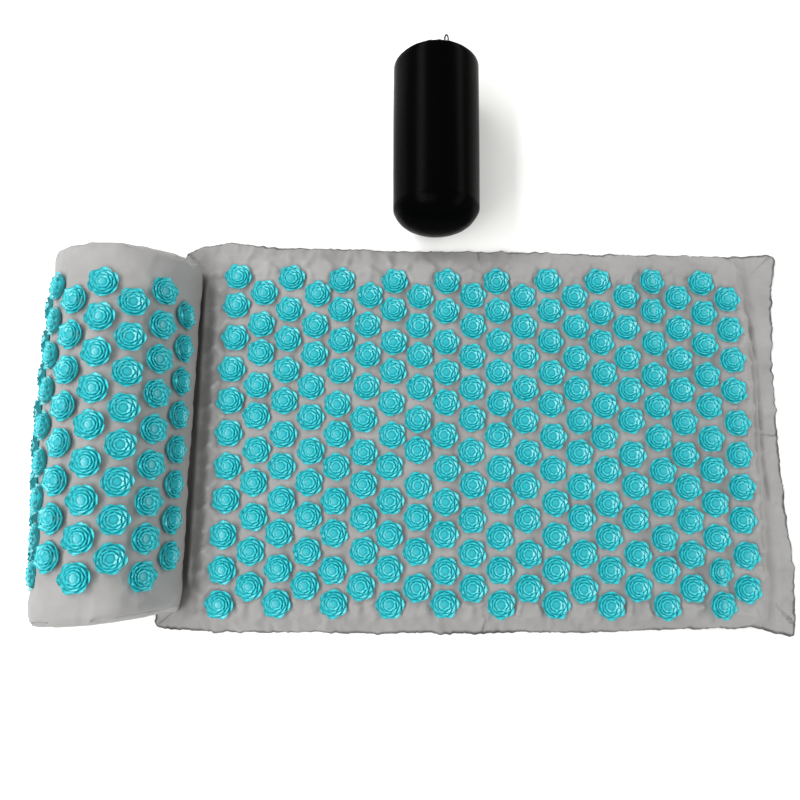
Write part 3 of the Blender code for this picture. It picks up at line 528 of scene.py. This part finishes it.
# Painted shade: this mask darkens the cloth right at the seam, and it also lowers the edge in the relief.
seam_drop_and_shade = add_ramp(tree, hem_parts.outputs["Z"], (0.85, "000000"), (0.93, "FFFFFF"))
seam_relief = add_node(
    tree, "Math", {"operation": "SUBTRACT"}, {0: gathers.outputs[0], 1: seam_drop_and_shade.outputs["Color"]})
seam_bump = add_node(tree, "Bump", {"Strength": 0.9, "Distance": 2.6 * MM},
                     {"Height": seam_relief.outputs[0], "Normal": cloth_bump.outputs["Normal"]})
tint = add_ramp(tree, clouds.outputs["Fac"], (0.3, "858483"), (0.7, "91908F"))
# The seam's painted shade is multiplied into the dyed tint here.
shade = add_node(tree, "Mix", {"data_type": "RGBA", "blend_type": "MULTIPLY", 7: linear("5A5755")},
                 {0: seam_drop_and_shade.outputs["Color"], 6: tint.outputs["Color"]})
tree.links.new(shade.outputs[2], shader.inputs["Base Color"])
tree.links.new(seam_bump.outputs["Normal"], shader.inputs["Normal"])

bm = bmesh.new()
inset_layer = bm.verts.layers.float.new("inset")
bmesh.ops.create_grid(bm, x_segments=cells_x, y_segments=cells_y, size=1.0)
lower = bmesh.ops.duplicate(bm, geom=bm.verts[:] + bm.edges[:] + bm.faces[:])["geom"]
lower_verts = set(only(lower, bmesh.types.BMVert))
bmesh.ops.reverse_faces(bm, faces=only(lower, bmesh.types.BMFace))
for vert in bm.verts:
    u = (vert.co.x + 1) / 2
    v = (vert.co.y + 1) / 2
    x, y = mat_place(u, v)
    edge = min(u, 1 - u, v, 1 - v) < 0.1 / cells_x
    vert.co = (x, y, seam_height if edge else 0 if vert in lower_verts else cover_height(x, y, u, v))
    vert[inset_layer] = min(min(u, 1 - u) * 2 * mat_half_x, min(v, 1 - v) * 2 * mat_half_y)
bmesh.ops.remove_doubles(bm, verts=bm.verts, dist=0.05 * MM)
mat_cover = new_piece("mat_cover", bm, sanded_cotton)
print("mat cover faces before the solver:", len(mat_cover.data.polygons))

# %% [markdown]
# The cloth solver blows the cover up a little, as wadding and trapped air do. Pinned points stand for
# the discs' washers and for the floor. We stop early and cap how far any point may move, because
# only the soft swelling is wanted and not a balloon.

# %% Cloth solver
solver_frames = 16


def puff(piece, held, cap, pressure, slack):
    """Run the cloth solver on a piece and keep its result, with each point's move capped."""
    start = read_places(piece.data)
    group = piece.vertex_groups.new(name="held")
    group.add([int(index) for index in held], 1.0, "REPLACE")
    cloth = piece.modifiers.new("puff", "CLOTH")
    choices = {"quality": 4, "mass": 0.15, "tension_stiffness": 12, "compression_stiffness": 12,
               "shear_stiffness": 4, "bending_stiffness": 0.02, "vertex_group_mass": "held",
               "use_pressure": True, "uniform_pressure_force": pressure, "shrink_min": -slack}
    for name, value in choices.items():
        setattr(cloth.settings, name, value)
    cloth.settings.effector_weights.gravity = 0
    cloth.collision_settings.use_collision = False
    cloth.collision_settings.use_self_collision = False
    cloth.point_cache.frame_end = solver_frames
    for step in range(1, solver_frames + 1):
        scene.frame_set(step)
    solved = piece.evaluated_get(bpy.context.evaluated_depsgraph_get())
    moves = read_places(solved.data) - start
    reach = np.linalg.norm(moves, axis=1, keepdims=True)
    moves *= np.minimum(1, cap / np.maximum(reach, 1e-9))
    piece.modifiers.remove(cloth)
    piece.vertex_groups.remove(group)
    scene.frame_set(1)
    write_places(piece.data, start + moves)
    print(piece.name, "largest swelling in mm:", round(float(reach.max()) / MM, 2))


def remake(piece, kind, settings):
    """Let one modifier make a new mesh for a piece, and keep that mesh alone."""
    modifier = piece.modifiers.new("remake", kind)
    for name, value in settings.items():
        setattr(modifier, name, value)
    data = bpy.data.meshes.new_from_object(piece.evaluated_get(bpy.context.evaluated_depsgraph_get()))
    piece.modifiers.remove(modifier)
    old = piece.data
    piece.data = data
    bpy.data.meshes.remove(old)


def keep_vectors(data, name, vectors):
    """Keep one vector for each point, for a material to follow."""
    made = data.attributes.new(name, "FLOAT_VECTOR", "POINT")
    made.data.foreach_set("vector", np.asarray(vectors, np.float32).ravel())


def hem_vector(along, inside):
    """The way along the seam, a little of the way inward, and 1 at the seam down to 0 past its reach."""
    near = max(0.0, 1 - inside / seam_reach)
    return along, near * 6 * MM, near


seam_reach = 34 * MM


def away_from(places, centres):
    """Each place's distance from the nearest of the centres."""
    return np.linalg.norm(places[:, None] - np.array(centres), axis=2).min(axis=1)


disc_clamp = 11 * MM
places = read_places(mat_cover.data)
nearest = away_from(places[:, :2], mat_disc_places)
held = np.where((places[:, 2] < 1.0 * MM) | ((nearest < disc_clamp) & (places[:, 2] > 5 * MM)))[0]
puff(mat_cover, held, cap=4 * MM, pressure=2.5, slack=0.02)
remake(mat_cover, "SUBSURF", {"levels": 1, "render_levels": 1})
print("mat cover faces:", len(mat_cover.data.polygons))

# %% [markdown]
# Slack cloth over foam folds in ways that a coarse solver misses. Each border disc holds the cloth, so
# narrow folds fan out from it to the seam. Long folds lie where the cloth steps down past the foam's
# short ends. The seam itself is wavy. Each kind is a small function of the place on the mat.

# %% Creases and the crumpled seam of the mat
border_discs = [place for (column, row), place in mat_field.items()
                if column in (0, 1, 18, 19) or row in (0, 10 - column % 2)]


def place_tree(flat_places):
    """A tree that finds the nearest of these places."""
    tree = KDTree(len(flat_places))
    for index, (x, y) in enumerate(flat_places):
        tree.insert((x, y, 0), index)
    tree.balance()
    return tree


border_tree = place_tree(border_discs)
all_discs_tree = place_tree(mat_disc_places)
field_middle_x = 2.5 * MM
field_middle_y = -7 * MM
field_half_x = 272 * MM
field_half_y = 172 * MM
fan_start = 6 * MM
fan_reach = 50 * MM
fan_height = 4.4 * MM
fan_count = 7
wide_gather = 5.6 * MM
fine_gather = 2.0 * MM


def smooth(value):
    value = clamp(value)
    return value * value * (3 - 2 * value)


def fade_in(past, span):
    """From 0 at a line to 1 at this distance past it."""
    return smooth(past / span)


def clear_of_discs(x, y):
    """0 under a disc, where its washer holds the cloth flat, rising to 1 beside it."""
    return fade_in(all_discs_tree.find((x, y, 0))[2] - 14 * MM, 7 * MM)


def ridge(x, y, seed):
    """A sharp fold line where smooth noise passes through zero, from 0 to 1."""
    return max(0.0, 1 - 3.2 * abs(noise.noise(Vector((x, y, seed)))))


def fan_folds(x, y):
    """Narrow folds that fan out from the nearest border discs, in metres of height."""
    outside = max(abs(x - field_middle_x) - field_half_x, abs(y - field_middle_y) - field_half_y)
    if outside < -fan_start:
        return 0.0
    rise = 0.0
    for place, index, distance in border_tree.find_n((x, y, 0), 2):
        angle = math.atan2(y - place.y, x - place.x)
        fold = (0.5 + 0.5 * math.cos(fan_count * angle + 2.3 * index)) ** 5
        rise += fold * fade_in(distance - disc_clamp, 7 * MM) * fade_in(fan_reach - distance, 34 * MM)
    return fan_height * rise * fade_in(outside + fan_start, 8 * MM)


def line_fold(offset, width):
    return math.exp(-(offset / width) ** 2)


# Long folds beside the foam's short ends: points of (y, x) in mm from far to near, then the depth and the
# height of the ridge on the outer side
long_folds = (
    (((176, 296), (153, 301), (119, 308), (88, 311), (-40, 312), (-90, 315)), 1.7, 2.0),
    (((112, 297), (82, 305), (47, 305), (-40, 300), (-135, 295), (-165, 293)), 1.5, 1.8),
    (((-95, 317), (-130, 322), (-175, 324), (-205, 319)), 1.6, 2.0),
    (((205, -312), (188, -321), (170, -322)), 2.0, 2.2),
    (((-120, -299), (-165, -300), (-196, -294)), 1.8, 2.0),
)
left_bulge_x = -303.5 * MM
left_bulge = 7 * MM
left_bulge_width = 4.2 * MM
left_bulge_half_length = 176 * MM
left_bulge_fade = 25 * MM
fold_fade = 26 * MM
crease_width = 2.0 * MM
ridge_width = 2.3 * MM
ridge_beside = 3.8 * MM


def end_folds(x, y):
    """The long folds near this place, and the bulge that the pillow pushes up beside the foam."""
    bulge_end = fade_in(left_bulge_half_length - abs(y), left_bulge_fade)
    rise = left_bulge * line_fold(x - left_bulge_x, left_bulge_width) * bulge_end
    for points, depth, ridge_height in long_folds:
        for (y_far, x_far), (y_near, x_near) in zip(points, points[1:]):
            share = (y_far * MM - y) / ((y_far - y_near) * MM)
            if 0 <= share < 1:
                across = (x - (x_far + (x_near - x_far) * share) * MM) * math.copysign(1, x)
                from_far_end = points[0][0] * MM - y
                from_near_end = y - points[-1][0] * MM
                ends = fade_in(from_far_end, fold_fade) * fade_in(from_near_end, fold_fade)
                fold = (ridge_height * line_fold(across - ridge_beside, ridge_width)
                        - depth * line_fold(across, crease_width))
                rise += fold * ends * MM
    return rise


def gathers_near_seam(along, inset):
    """Small folds that run in from the seam, square to it."""
    wide = noise.noise(Vector((along / (12 * MM), inset / (70 * MM), 1.7)))
    fine = noise.noise(Vector((along / (5.5 * MM), inset / (40 * MM), 8.1)))
    return wide_gather * max(0.0, wide) + fine_gather * fine


wander = 1.5 * MM
waver = 2.2 * MM
nick = 1.3 * MM


def seam_wave(along):
    """How far the crumpled seam wanders sideways, in metres, with small sharp nicks."""
    wide = noise.noise(Vector((along / (19 * MM), 3.1, 7.3)))
    fine = noise.noise(Vector((along / (6 * MM), 1.4, 2.6)))
    return wander * wide + waver * fine - nick * ridge(along / (15 * MM), 0.5, 4.4) ** 2


places = read_places(mat_cover.data)
keep_vectors(mat_cover.data, "weave", places)
insets = np.empty(len(places), np.float32)
mat_cover.data.attributes["inset"].data.foreach_get("value", insets)
hems = []
for place, inset in zip(places, insets):
    x, y, z = (float(value) for value in place)
    on_end = mat_half_x - abs(x) < mat_half_y - abs(y)
    # The whole metres keep the noise on the four sides apart
    along = (y if on_end else x) + (1.0 if x > 0 else 2.0) + (4.0 if y > 0 else 0.0)
    hems.append(hem_vector(along, float(inset)))
    if z > 0.4 * MM:
        coarse = Vector((x / (31 * MM), y / (31 * MM), 5.0))
        by_seam = fade_in(30 * MM - inset, 22 * MM) * fade_in(inset, 4 * MM)
        rise = fan_folds(x, y) + end_folds(x, y) + 0.5 * MM * noise.noise(coarse)
        rise += by_seam * gathers_near_seam(along, inset)
        rise += 1.8 * MM * smooth(2 * hems[-1][2] - 1) * max(0.0, noise.noise(coarse * 1.5) + 0.1)
        place[2] += rise * clear_of_discs(x, y)
    rim = fade_in(16 * MM - inset, 14 * MM)
    place[0 if on_end else 1] += rim * math.copysign(seam_wave(along), x if on_end else y)
    place[2] = max(0.0, place[2])
keep_vectors(mat_cover.data, "hem", hems)
write_places(mat_cover.data, places)
print("mat cover rises to", round(float(places[:, 2].max()) / MM, 1), "mm")

# %% [markdown]
# The mat's zip lies in a straight slot in the underside. We cut the cloth along four planes, take out
# the faces between them and turn the rim in, as the hem beside a zip is.

# %% Slot for the zip
def in_slot(place, margin):
    return (abs(place.x) < slot_half_length + margin and abs(place.y) < slot_half_width + margin
            and abs(place.z) < slot_search)


def open_slot(data, slot_frame):
    """Cut the straight slot that a zip sits in. Its frame has X along the zip and Z out of the cloth."""
    bm = bmesh.new()
    bm.from_mesh(data)
    bmesh.ops.transform(bm, matrix=slot_frame.inverted(), verts=bm.verts)
    along, across = Vector((1, 0, 0)), Vector((0, 1, 0))
    for way, half in ((along, slot_half_length), (-along, slot_half_length),
                      (across, slot_half_width), (-across, slot_half_width)):
        nearby = [face for face in bm.faces if all(in_slot(vert.co, slot_margin) for vert in face.verts)]
        edges = {edge for face in nearby for edge in face.edges}
        verts = {vert for face in nearby for vert in face.verts}
        bmesh.ops.bisect_plane(bm, geom=[*nearby, *edges, *verts], dist=0.01 * MM,
                               plane_co=way * half, plane_no=way)
    inside = [face for face in bm.faces if in_slot(face.calc_center_median(), 0)]
    rim = {edge for face in inside for edge in face.edges
           if any(other not in inside for other in edge.link_faces)}
    print("faces taken out for a zip:", len(inside), "with a rim of", len(rim), "edges")
    bmesh.ops.delete(bm, geom=inside, context="FACES")
    turned_in = bmesh.ops.extrude_edge_only(bm, edges=[edge for edge in rim if edge.is_valid])
    bmesh.ops.translate(bm, vec=(0, 0, -slot_turn_in), verts=only(turned_in["geom"], bmesh.types.BMVert))
    bmesh.ops.transform(bm, matrix=slot_frame, verts=bm.verts)
    bm.to_mesh(data)
    bm.free()


slot_half_length = 150 * MM
slot_half_width = 4.6 * MM
slot_search = 3 * MM
slot_margin = 12 * MM
slot_turn_in = 1.2 * MM
mat_zip_x = 273 * MM
mat_zip_frame = Matrix(((0, 1, 0, mat_zip_x), (1, 0, 0, foam_middle_y), (0, 0, -1, 0), (0, 0, 0, 1)))

open_slot(mat_cover.data, mat_zip_frame)
mat_cover.data.shade_smooth()
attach(mat_cover, "mat")
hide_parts("mat_top_cover", "mat_bottom_cover", "mat_foam_pad")

# %% [markdown]
# The discs stand square to the cloth. We drop a ray onto the finished cover at each place, turn the disc
# at random, as it comes out of the press, and tip it a little with the cloth.

# %% Discs on the mat
tip_follow = 0.5
lean_spread = 0.035
above_cover = 60 * MM
tipped_rise = 0.6 * disc_radius


def surface_of(piece):
    """A search tree over a piece's surface."""
    bm = bmesh.new()
    bm.from_mesh(piece.data)
    tree = BVHTree.FromBMesh(bm)
    bm.free()
    return tree


def disc_set(name, seats, body):
    """All the discs of one cover as one piece. A seat is a foot, an outward axis and a turn."""
    bm = bmesh.new()
    for foot, outward, turn in seats:
        start = len(bm.verts)
        bm.from_mesh(lotus_data)
        bm.verts.ensure_lookup_table()
        stand = outward.to_track_quat("Z", "Y").to_matrix().to_4x4()
        move = Matrix.Translation(foot) @ stand @ Matrix.Rotation(turn, 4, "Z")
        bmesh.ops.transform(bm, matrix=move, verts=bm.verts[start:])
    made = new_piece(name, bm, moulded_abs)
    made.data.shade_smooth()
    made.data.set_sharp_from_angle(angle=math.radians(42))
    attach(made, body)
    print(name, "has", len(seats), "discs and", len(made.data.polygons), "faces")
    return made


def seat_on(tree, origin, outward, lean):
    """Find a disc's foot on the cloth by a ray against the outward axis, and the disc's own axis."""
    hit, normal, index, distance = tree.ray_cast(origin, -outward)
    return hit, (outward * (1 - tip_follow) + normal * tip_follow + lean).normalized()


# The few discs that the photograph shows tipped over towards the mat's free end
tipped = {(18, 0): 0.1, (18, 1): 0.3, (16, 10): 0.2, (16, 9): 0.2, (16, 8): 0.12}
turns = random.Random(7)
leans = random.Random(19)
cover_tree = surface_of(mat_cover)
mat_seats = []
for place, (x, y) in mat_field.items():
    turn = turns.random() * math.tau / 6
    lean = Vector((leans.gauss(0, lean_spread) + tipped.get(place, 0), leans.gauss(0, lean_spread), 0))
    foot, axis = seat_on(cover_tree, Vector((x, y, above_cover)), Vector((0, 0, 1)), lean)
    mat_seats.append((foot + axis * tipped.get(place, 0) * tipped_rise, axis, turn))
mat_discs = disc_set("mat_discs", mat_seats, "mat")
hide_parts("mat_top_cover")

# %% [markdown]
# The pillow is half-round foam in a fitted cotton cover. We draw its section once, extrude it
# along its length, even out its faces with a voxel remesh and let the solver round it off. The weave
# must follow the arch, so each point's distance round the section is kept as an attribute.

# %% Pillow
pillow_radius = 69.3 * MM
pillow_side = 30 * MM
pillow_half = 186 * MM
pillow_half_width = 70 * MM
pillow_lean = math.atan(2.6 / 112)
pillow_turn = math.radians(-0.7)
pillow_place = (Matrix.Translation(Vector((-381.986, -7.855, 1.625)) * MM)
                @ Matrix.Rotation(pillow_turn, 4, "Z") @ Matrix.Rotation(-pillow_lean, 4, "Y"))
pillow_zip_height = 16 * MM
pillow_zip_frame = pillow_place @ Matrix(((0, 0, -1, -pillow_half_width), (1, 0, 0, 0),
                                          (0, -1, 0, pillow_zip_height), (0, 0, 0, 1)))
pillow_start_inset = 1.5 * MM
pillow_field_shift = -1.5 * MM
pillow_field_turn = math.radians(3.9)
zip_wall_x = -60 * MM
zip_wall_top = 27 * MM
zip_fade = 12 * MM
zip_wall_push = 0.7 * MM


def pillow_section(inset):
    """The section's points, from the right foot over the top to the left foot."""
    radius = pillow_radius - inset
    arch = [(radius * math.cos(math.radians(step)), pillow_side + radius * math.sin(math.radians(step)))
            for step in range(0, 181, 6)]
    return [(radius, inset)] + arch + [(-radius, inset)]


bm = bmesh.new()
near_face_y = -pillow_half + pillow_start_inset
verts = [bm.verts.new((x, near_face_y, z)) for x, z in pillow_section(pillow_start_inset)]
face = bm.faces.new(verts)
grown = bmesh.ops.extrude_face_region(bm, geom=[face])
bmesh.ops.translate(bm, vec=(0, -2 * near_face_y, 0), verts=only(grown["geom"], bmesh.types.BMVert))
bmesh.ops.recalc_face_normals(bm, faces=bm.faces)
pillow_cover = new_piece("pillow_cover", bm, sanded_cotton)
remake(pillow_cover, "REMESH", {"mode": "VOXEL", "voxel_size": 4.5 * MM})

above_arch = 120 * MM
pillow_lean_spread = 0.03
pillow_columns = 7
column_angle = column_pitch / pillow_half_width
# Each disc's place along the pillow and its outward axis. The field's first column is left out, so that
# the pillow starts with a short one.
seats = []
for column, row, along in staggered(pillow_columns + 1, 9):
    if column:
        angle = (column - 1 - (pillow_columns - 1) / 2) * column_angle + pillow_field_turn
        seats.append((along + pillow_field_shift, Vector((math.sin(angle), 0, math.cos(angle)))))
places = read_places(pillow_cover.data)
feet = [Vector((0, along, pillow_side)) + outward * pillow_radius for along, outward in seats]
nearest = away_from(places, feet)
held = np.where((places[:, 2] < pillow_start_inset + 1.5 * MM) | (nearest < disc_clamp)
                | ((places[:, 0] < zip_wall_x) & (places[:, 2] < zip_wall_top)))[0]
puff(pillow_cover, held, cap=3.5 * MM, pressure=3.0, slack=0.015)
remake(pillow_cover, "SUBSURF", {"levels": 1, "render_levels": 1})


# %% Pillow seams and creases
seam_from_end = 3.0 * MM
seam_width = 1.8 * MM
seam_depth = 0.7 * MM
end_fold = 0.9 * MM
end_fold_reach = 42 * MM
softness = 0.5 * MM
# How the full cushion differs from the plain arch: it spreads sideways, and its end panels are drawn in
# and not quite square
spread = 0.042
end_reach = 36 * MM
near_end_shift = 3 * MM
near_end_skew = 6.5 * MM
far_end_top = 5.5 * MM
left_corner_out = 2 * MM
left_side_in = 10.5 * MM
right_side_out = 1.5 * MM
foot_undercut = 6 * MM


def finish_pillow(data):
    """Press in the end seams, add soft creases and keep the way round the arch."""
    places = read_places(data)
    flat_places = []
    hems = []
    for place in places:
        x, y, z = (float(value) for value in place)
        if z > pillow_side:
            way = math.atan2(x, z - pillow_side) * pillow_radius
        else:
            way = math.copysign(math.pi / 2 * pillow_radius + pillow_side - z, x)
        flat_places.append((way, y, 0))
        outward = Vector((x, 0, max(z - pillow_side, 0)))
        from_seam = pillow_half - seam_from_end - abs(y)
        inside = abs(from_seam) + seam_reach * 0.085
        if from_seam < 1 * MM:
            inside += max(0.0, pillow_radius - outward.length)
        hems.append(hem_vector(way + (4 if y > 0 else 5), inside))
        if outward.length > 20 * MM and abs(y) < pillow_half - 1.0 * MM:
            outward.normalize()
            end = max(0.0, 1 - (pillow_half - abs(y)) / end_fold_reach)
            fold = ridge(way / (22 * MM), y / (120 * MM), 12.5)
            soft = noise.noise(Vector(flat_places[-1]) / (40 * MM))
            push = -seam_depth * line_fold(from_seam, seam_width) + end_fold * fold * end + softness * soft
            place += np.array(outward * push * fade_in(z - zip_wall_top, zip_fade), np.float32)
        if x < zip_wall_x:
            place[0] -= zip_wall_push * fade_in(zip_wall_top + 6 * MM - z, 6 * MM)
        reach = x / pillow_radius
        above_zip = 1 if x > 0 else fade_in(z - zip_wall_top, zip_fade)
        near_end = fade_in(end_reach - pillow_half - y, end_reach)
        far_end = fade_in(end_reach - pillow_half + y, end_reach)
        place[0] += spread * x * above_zip
        toward_near = fade_in(15 * MM - y, 165 * MM)
        if x > 0:
            place[0] += right_side_out * toward_near
        else:
            place[0] -= left_corner_out * far_end * reach ** 2 * above_zip
        lean_in = fade_in(-reach - 0.45, 0.40) * fade_in(z - zip_wall_top, 34 * MM)
        place[0] += left_side_in * toward_near * lean_in
        place[0] -= foot_undercut * fade_in(14 * MM - z, 14 * MM) * fade_in(reach - 0.75, 0.25)
        place[1] += near_end * (near_end_shift + near_end_skew * reach) * fade_in(z, 20 * MM)
        place[1] -= far_end * far_end_top * z / (pillow_side + pillow_radius)
        place[2] = max(0.0, float(place[2]))
    write_places(data, places)
    keep_vectors(data, "weave", flat_places)
    keep_vectors(data, "hem", hems)


finish_pillow(pillow_cover.data)
pillow_cover.data.transform(pillow_place)
open_slot(pillow_cover.data, pillow_zip_frame)
pillow_cover.data.shade_smooth()
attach(pillow_cover, "pillow")
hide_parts("pillow_top_cover", "pillow_base_panel", "pillow_end_near", "pillow_end_far",
            "pillow_core")
cover_tree = surface_of(pillow_cover)
turn_only = pillow_place.to_3x3()
pillow_seats = []
for along, outward in seats:
    turn = turns.random() * math.tau / 6
    lean = Vector([leans.gauss(0, pillow_lean_spread) for axis in "XYZ"])
    origin = pillow_place @ (Vector((0, along, pillow_side)) + outward * above_arch)
    pillow_seats.append((*seat_on(cover_tree, origin, turn_only @ outward, lean), turn))
pillow_discs = disc_set("pillow_discs", pillow_seats, "pillow")
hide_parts("pillow_top_cover")
print("pillow faces:", len(pillow_cover.data.polygons))

# %% [markdown]
# The bag is a tube of thin black nylon with a round base panel, and it is full. The cord pulls its
# far end shut into fine pleats. A profile spun round the long axis gives the roll. The pleats come
# from drawing stretches of the ring towards the axis, and the floor presses the underside flat.

# %% Carry bag
bag_axis = Vector((-51.5, 0, 46.0)) * MM
bag_radius = 47 * MM
bag_seam_y = 236.5 * MM
bag_dome_y = 404.0 * MM
bag_dome_depth = 8.5 * MM
bag_base_depth = 23 * MM
base_gap = 0.3 * MM
bag_neck_radius = 7.5 * MM
bag_neck_end = 418.5 * MM
bag_neck_rise = 20 * MM
bag_segments = 132
far_swell = 0.02
mouth_pleats = 22
pleat_depth = 0.20
pleat_step = 0.8 * MM
# The rounding of the mouth and of the base, as shares of the radius and of the depth
mouth_profile = ((1.0, 0.0), (0.995, 0.06), (0.97, 0.18), (0.92, 0.32), (0.86, 0.45), (0.74, 0.63),
                 (0.60, 0.80), (0.42, 0.92), (0.28, 0.985), (0.20, 1.0))
base_profile = ((1.0, 0.0), (0.994, 0.07), (0.972, 0.17), (0.925, 0.33), (0.855, 0.52), (0.76, 0.68),
                (0.65, 0.80), (0.48, 0.91), (0.30, 0.96), (0.12, 0.985))

# Satin nylon: filament yarn packed tight, so it is black with a broad soft sheen. The yarns are 0.2 mm
# apart and drawn at 1 mm.
satin_nylon, tree, shader = new_material(
    "black_satin_nylon",
    {"Base Color": linear("030303"), "Roughness": 0.25, "IOR": 1.53, "Specular IOR Level": 0.0105})
flat = add_node(tree, "Attribute", {"attribute_name": "weave"})
warp, weft = (add_node(tree, "TexWave", {"bands_direction": way, "Scale": bands_scale(1.0 * MM)},
                       {"Vector": flat.outputs["Vector"]}) for way in "XY")
yarns = add_node(tree, "Math", {"operation": "ADD"}, {0: warp.outputs["Fac"], 1: weft.outputs["Fac"]})
raise_surface(tree, shader, yarns.outputs[0], 0.12, 0.08 * MM)


def spun(section):
    """Spin a section of radius and y, closed on the axis at both ends, once round Y."""
    bm = bmesh.new()
    verts = [bm.verts.new((radius, y, 0)) for radius, y in section]
    edges = [bm.edges.new(pair) for pair in zip(verts, verts[1:])]
    bmesh.ops.spin(bm, geom=verts + edges, axis=(0, 1, 0), cent=(0, 0, 0), angle=math.tau,
                   steps=bag_segments, use_merge=True)
    bmesh.ops.remove_doubles(bm, verts=bm.verts, dist=0.01 * MM)
    bmesh.ops.recalc_face_normals(bm, faces=bm.faces)
    return bm


def drape_bag(bm):
    """Gather the mouth, add long soft folds and press the underside on the floor. Returns the flat places."""
    flat_places = []
    for vert in bm.verts:
        angle = math.atan2(vert.co.x, vert.co.z)
        radius = math.hypot(vert.co.x, vert.co.z)
        y = vert.co.y
        flat_places.append((angle * bag_radius, y, 0))
        share = clamp((y - bag_dome_y) / bag_dome_depth)
        if radius > 0.1 * MM:
            pleat = abs(math.sin(angle * mouth_pleats / 2 + 0.7 * noise.noise(Vector((angle * 2, 0, 3)))))
            inner = 1 - radius / bag_radius
            drawn = 1 - pleat_depth * share * inner ** 0.5 * pleat
            soft = 0.5 * MM * noise.noise(Vector((angle * 2.2, y / (120 * MM), 4.0)))
            drawn += soft / bag_radius + far_swell * (y - bag_seam_y) / (bag_dome_y - bag_seam_y)
            vert.co.x *= drawn
            vert.co.z *= drawn
            vert.co.y += share * (1 - inner) * pleat_step * (pleat - 0.5)
        vert.co.z += bag_neck_rise * share ** 2
        vert.co += bag_axis
        vert.co.z = max(vert.co.z, 0)
    return flat_places


def bag_piece(name, section, node):
    bm = spun(section)
    flat_places = drape_bag(bm)
    made = new_piece(name, bm, satin_nylon)
    keep_vectors(made.data, "weave", flat_places)
    made.data.shade_smooth()
    made.data.set_sharp_from_angle(angle=math.radians(50))
    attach(made, "bag")
    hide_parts(node)
    print(name, "faces:", len(made.data.polygons))


straight = [(bag_radius, bag_seam_y + (bag_dome_y - bag_seam_y) * step / 28) for step in range(28)]
mouth = [(bag_radius * radius, bag_dome_y + bag_dome_depth * reach) for radius, reach in mouth_profile]
neck = [(bag_neck_radius, bag_dome_y + bag_dome_depth + 1.5 * MM), (bag_neck_radius, bag_neck_end - 0.6 * MM),
        (bag_neck_radius - 0.8 * MM, bag_neck_end), (0, bag_neck_end)]
bag_piece("bag_body", [(0, bag_seam_y)] + straight + mouth + neck, "bag_body")
base_y = bag_seam_y - base_gap
base = [(bag_radius * radius, base_y - bag_base_depth * reach) for radius, reach in base_profile]
bag_piece("bag_base", [(0, base_y)] + base + [(0, base_y - bag_base_depth)], "bag_base_panel")

# %% [markdown]
# The small hard parts keep their measured solids and only need their finishes: woven tape with its
# nylon coil, lacquered zinc, black acetal and spring wire.

# %% Finishes of the zips and the cord lock
# Polyester tape, woven in ribs 1.2 mm apart beside the coil
woven_tape = relief_finish(
    "woven_grey_polyester_tape", {"Base Color": linear("8C8986"), "Roughness": 0.8, "IOR": 1.55},
    "TexWave", {"bands_direction": "Y", "Scale": bands_scale(1.2 * MM)}, 0.8, 0.25 * MM)
# Die-cast zinc under a thin grey lacquer, so a soft metal gloss with a faint casting grain
lacquered_zinc = relief_finish(
    "lacquered_die_cast_zinc", {"Base Color": linear("A9A9A8"), "Metallic": 0.9, "Roughness": 0.34},
    "TexNoise", {"Scale": 1400.0, "Detail": 2.0}, 0.2, 0.05 * MM)
# Acetal from a spark-eroded mould, which leaves a fine even grain
black_acetal = relief_finish(
    "moulded_black_acetal", {"Base Color": linear("101011"), "Roughness": 0.4, "IOR": 1.48},
    "TexNoise", {"Scale": 2600.0, "Detail": 2.0}, 0.25, 0.04 * MM)
# Bare drawn wire, bright with drawing marks too fine to see
spring_wire = relief_finish(
    "drawn_spring_wire", {"Base Color": linear("B4B2AE"), "Metallic": 1.0, "Roughness": 0.28},
    "TexNoise", {"Scale": 3000.0, "Detail": 1.0}, 0.1, 0.02 * MM)

finish_by_word = {"tape": woven_tape, "stop": lacquered_zinc, "slider": lacquered_zinc,
                  "pull": lacquered_zinc, "barrel": black_acetal, "plunger": black_acetal,
                  "spring": spring_wire}
for name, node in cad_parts.items():
    for word, finish in finish_by_word.items():
        if name.endswith(word) or word + "_" in name:
            node.material_slots[0].material = finish
            print(name, "is finished as", finish.name)

# %% [markdown]
# The lock's spring is a short coil under the plunger. Pressing the plunger squeezes it, so it can't stay
# a stiff solid. We take the solid's mesh for a piece of our own, with its own copy of the mesh, in its rest
# shape.

# %% Lock spring
lock_spring = new_object("lock_spring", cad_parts["cord_lock_spring"].data.copy())
lock_spring.data.materials.clear()
lock_spring.data.materials.append(spring_wire)
places = read_places(lock_spring.data)
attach(lock_spring, "cord_lock")
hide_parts("cord_lock_spring")
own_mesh(lock_spring)
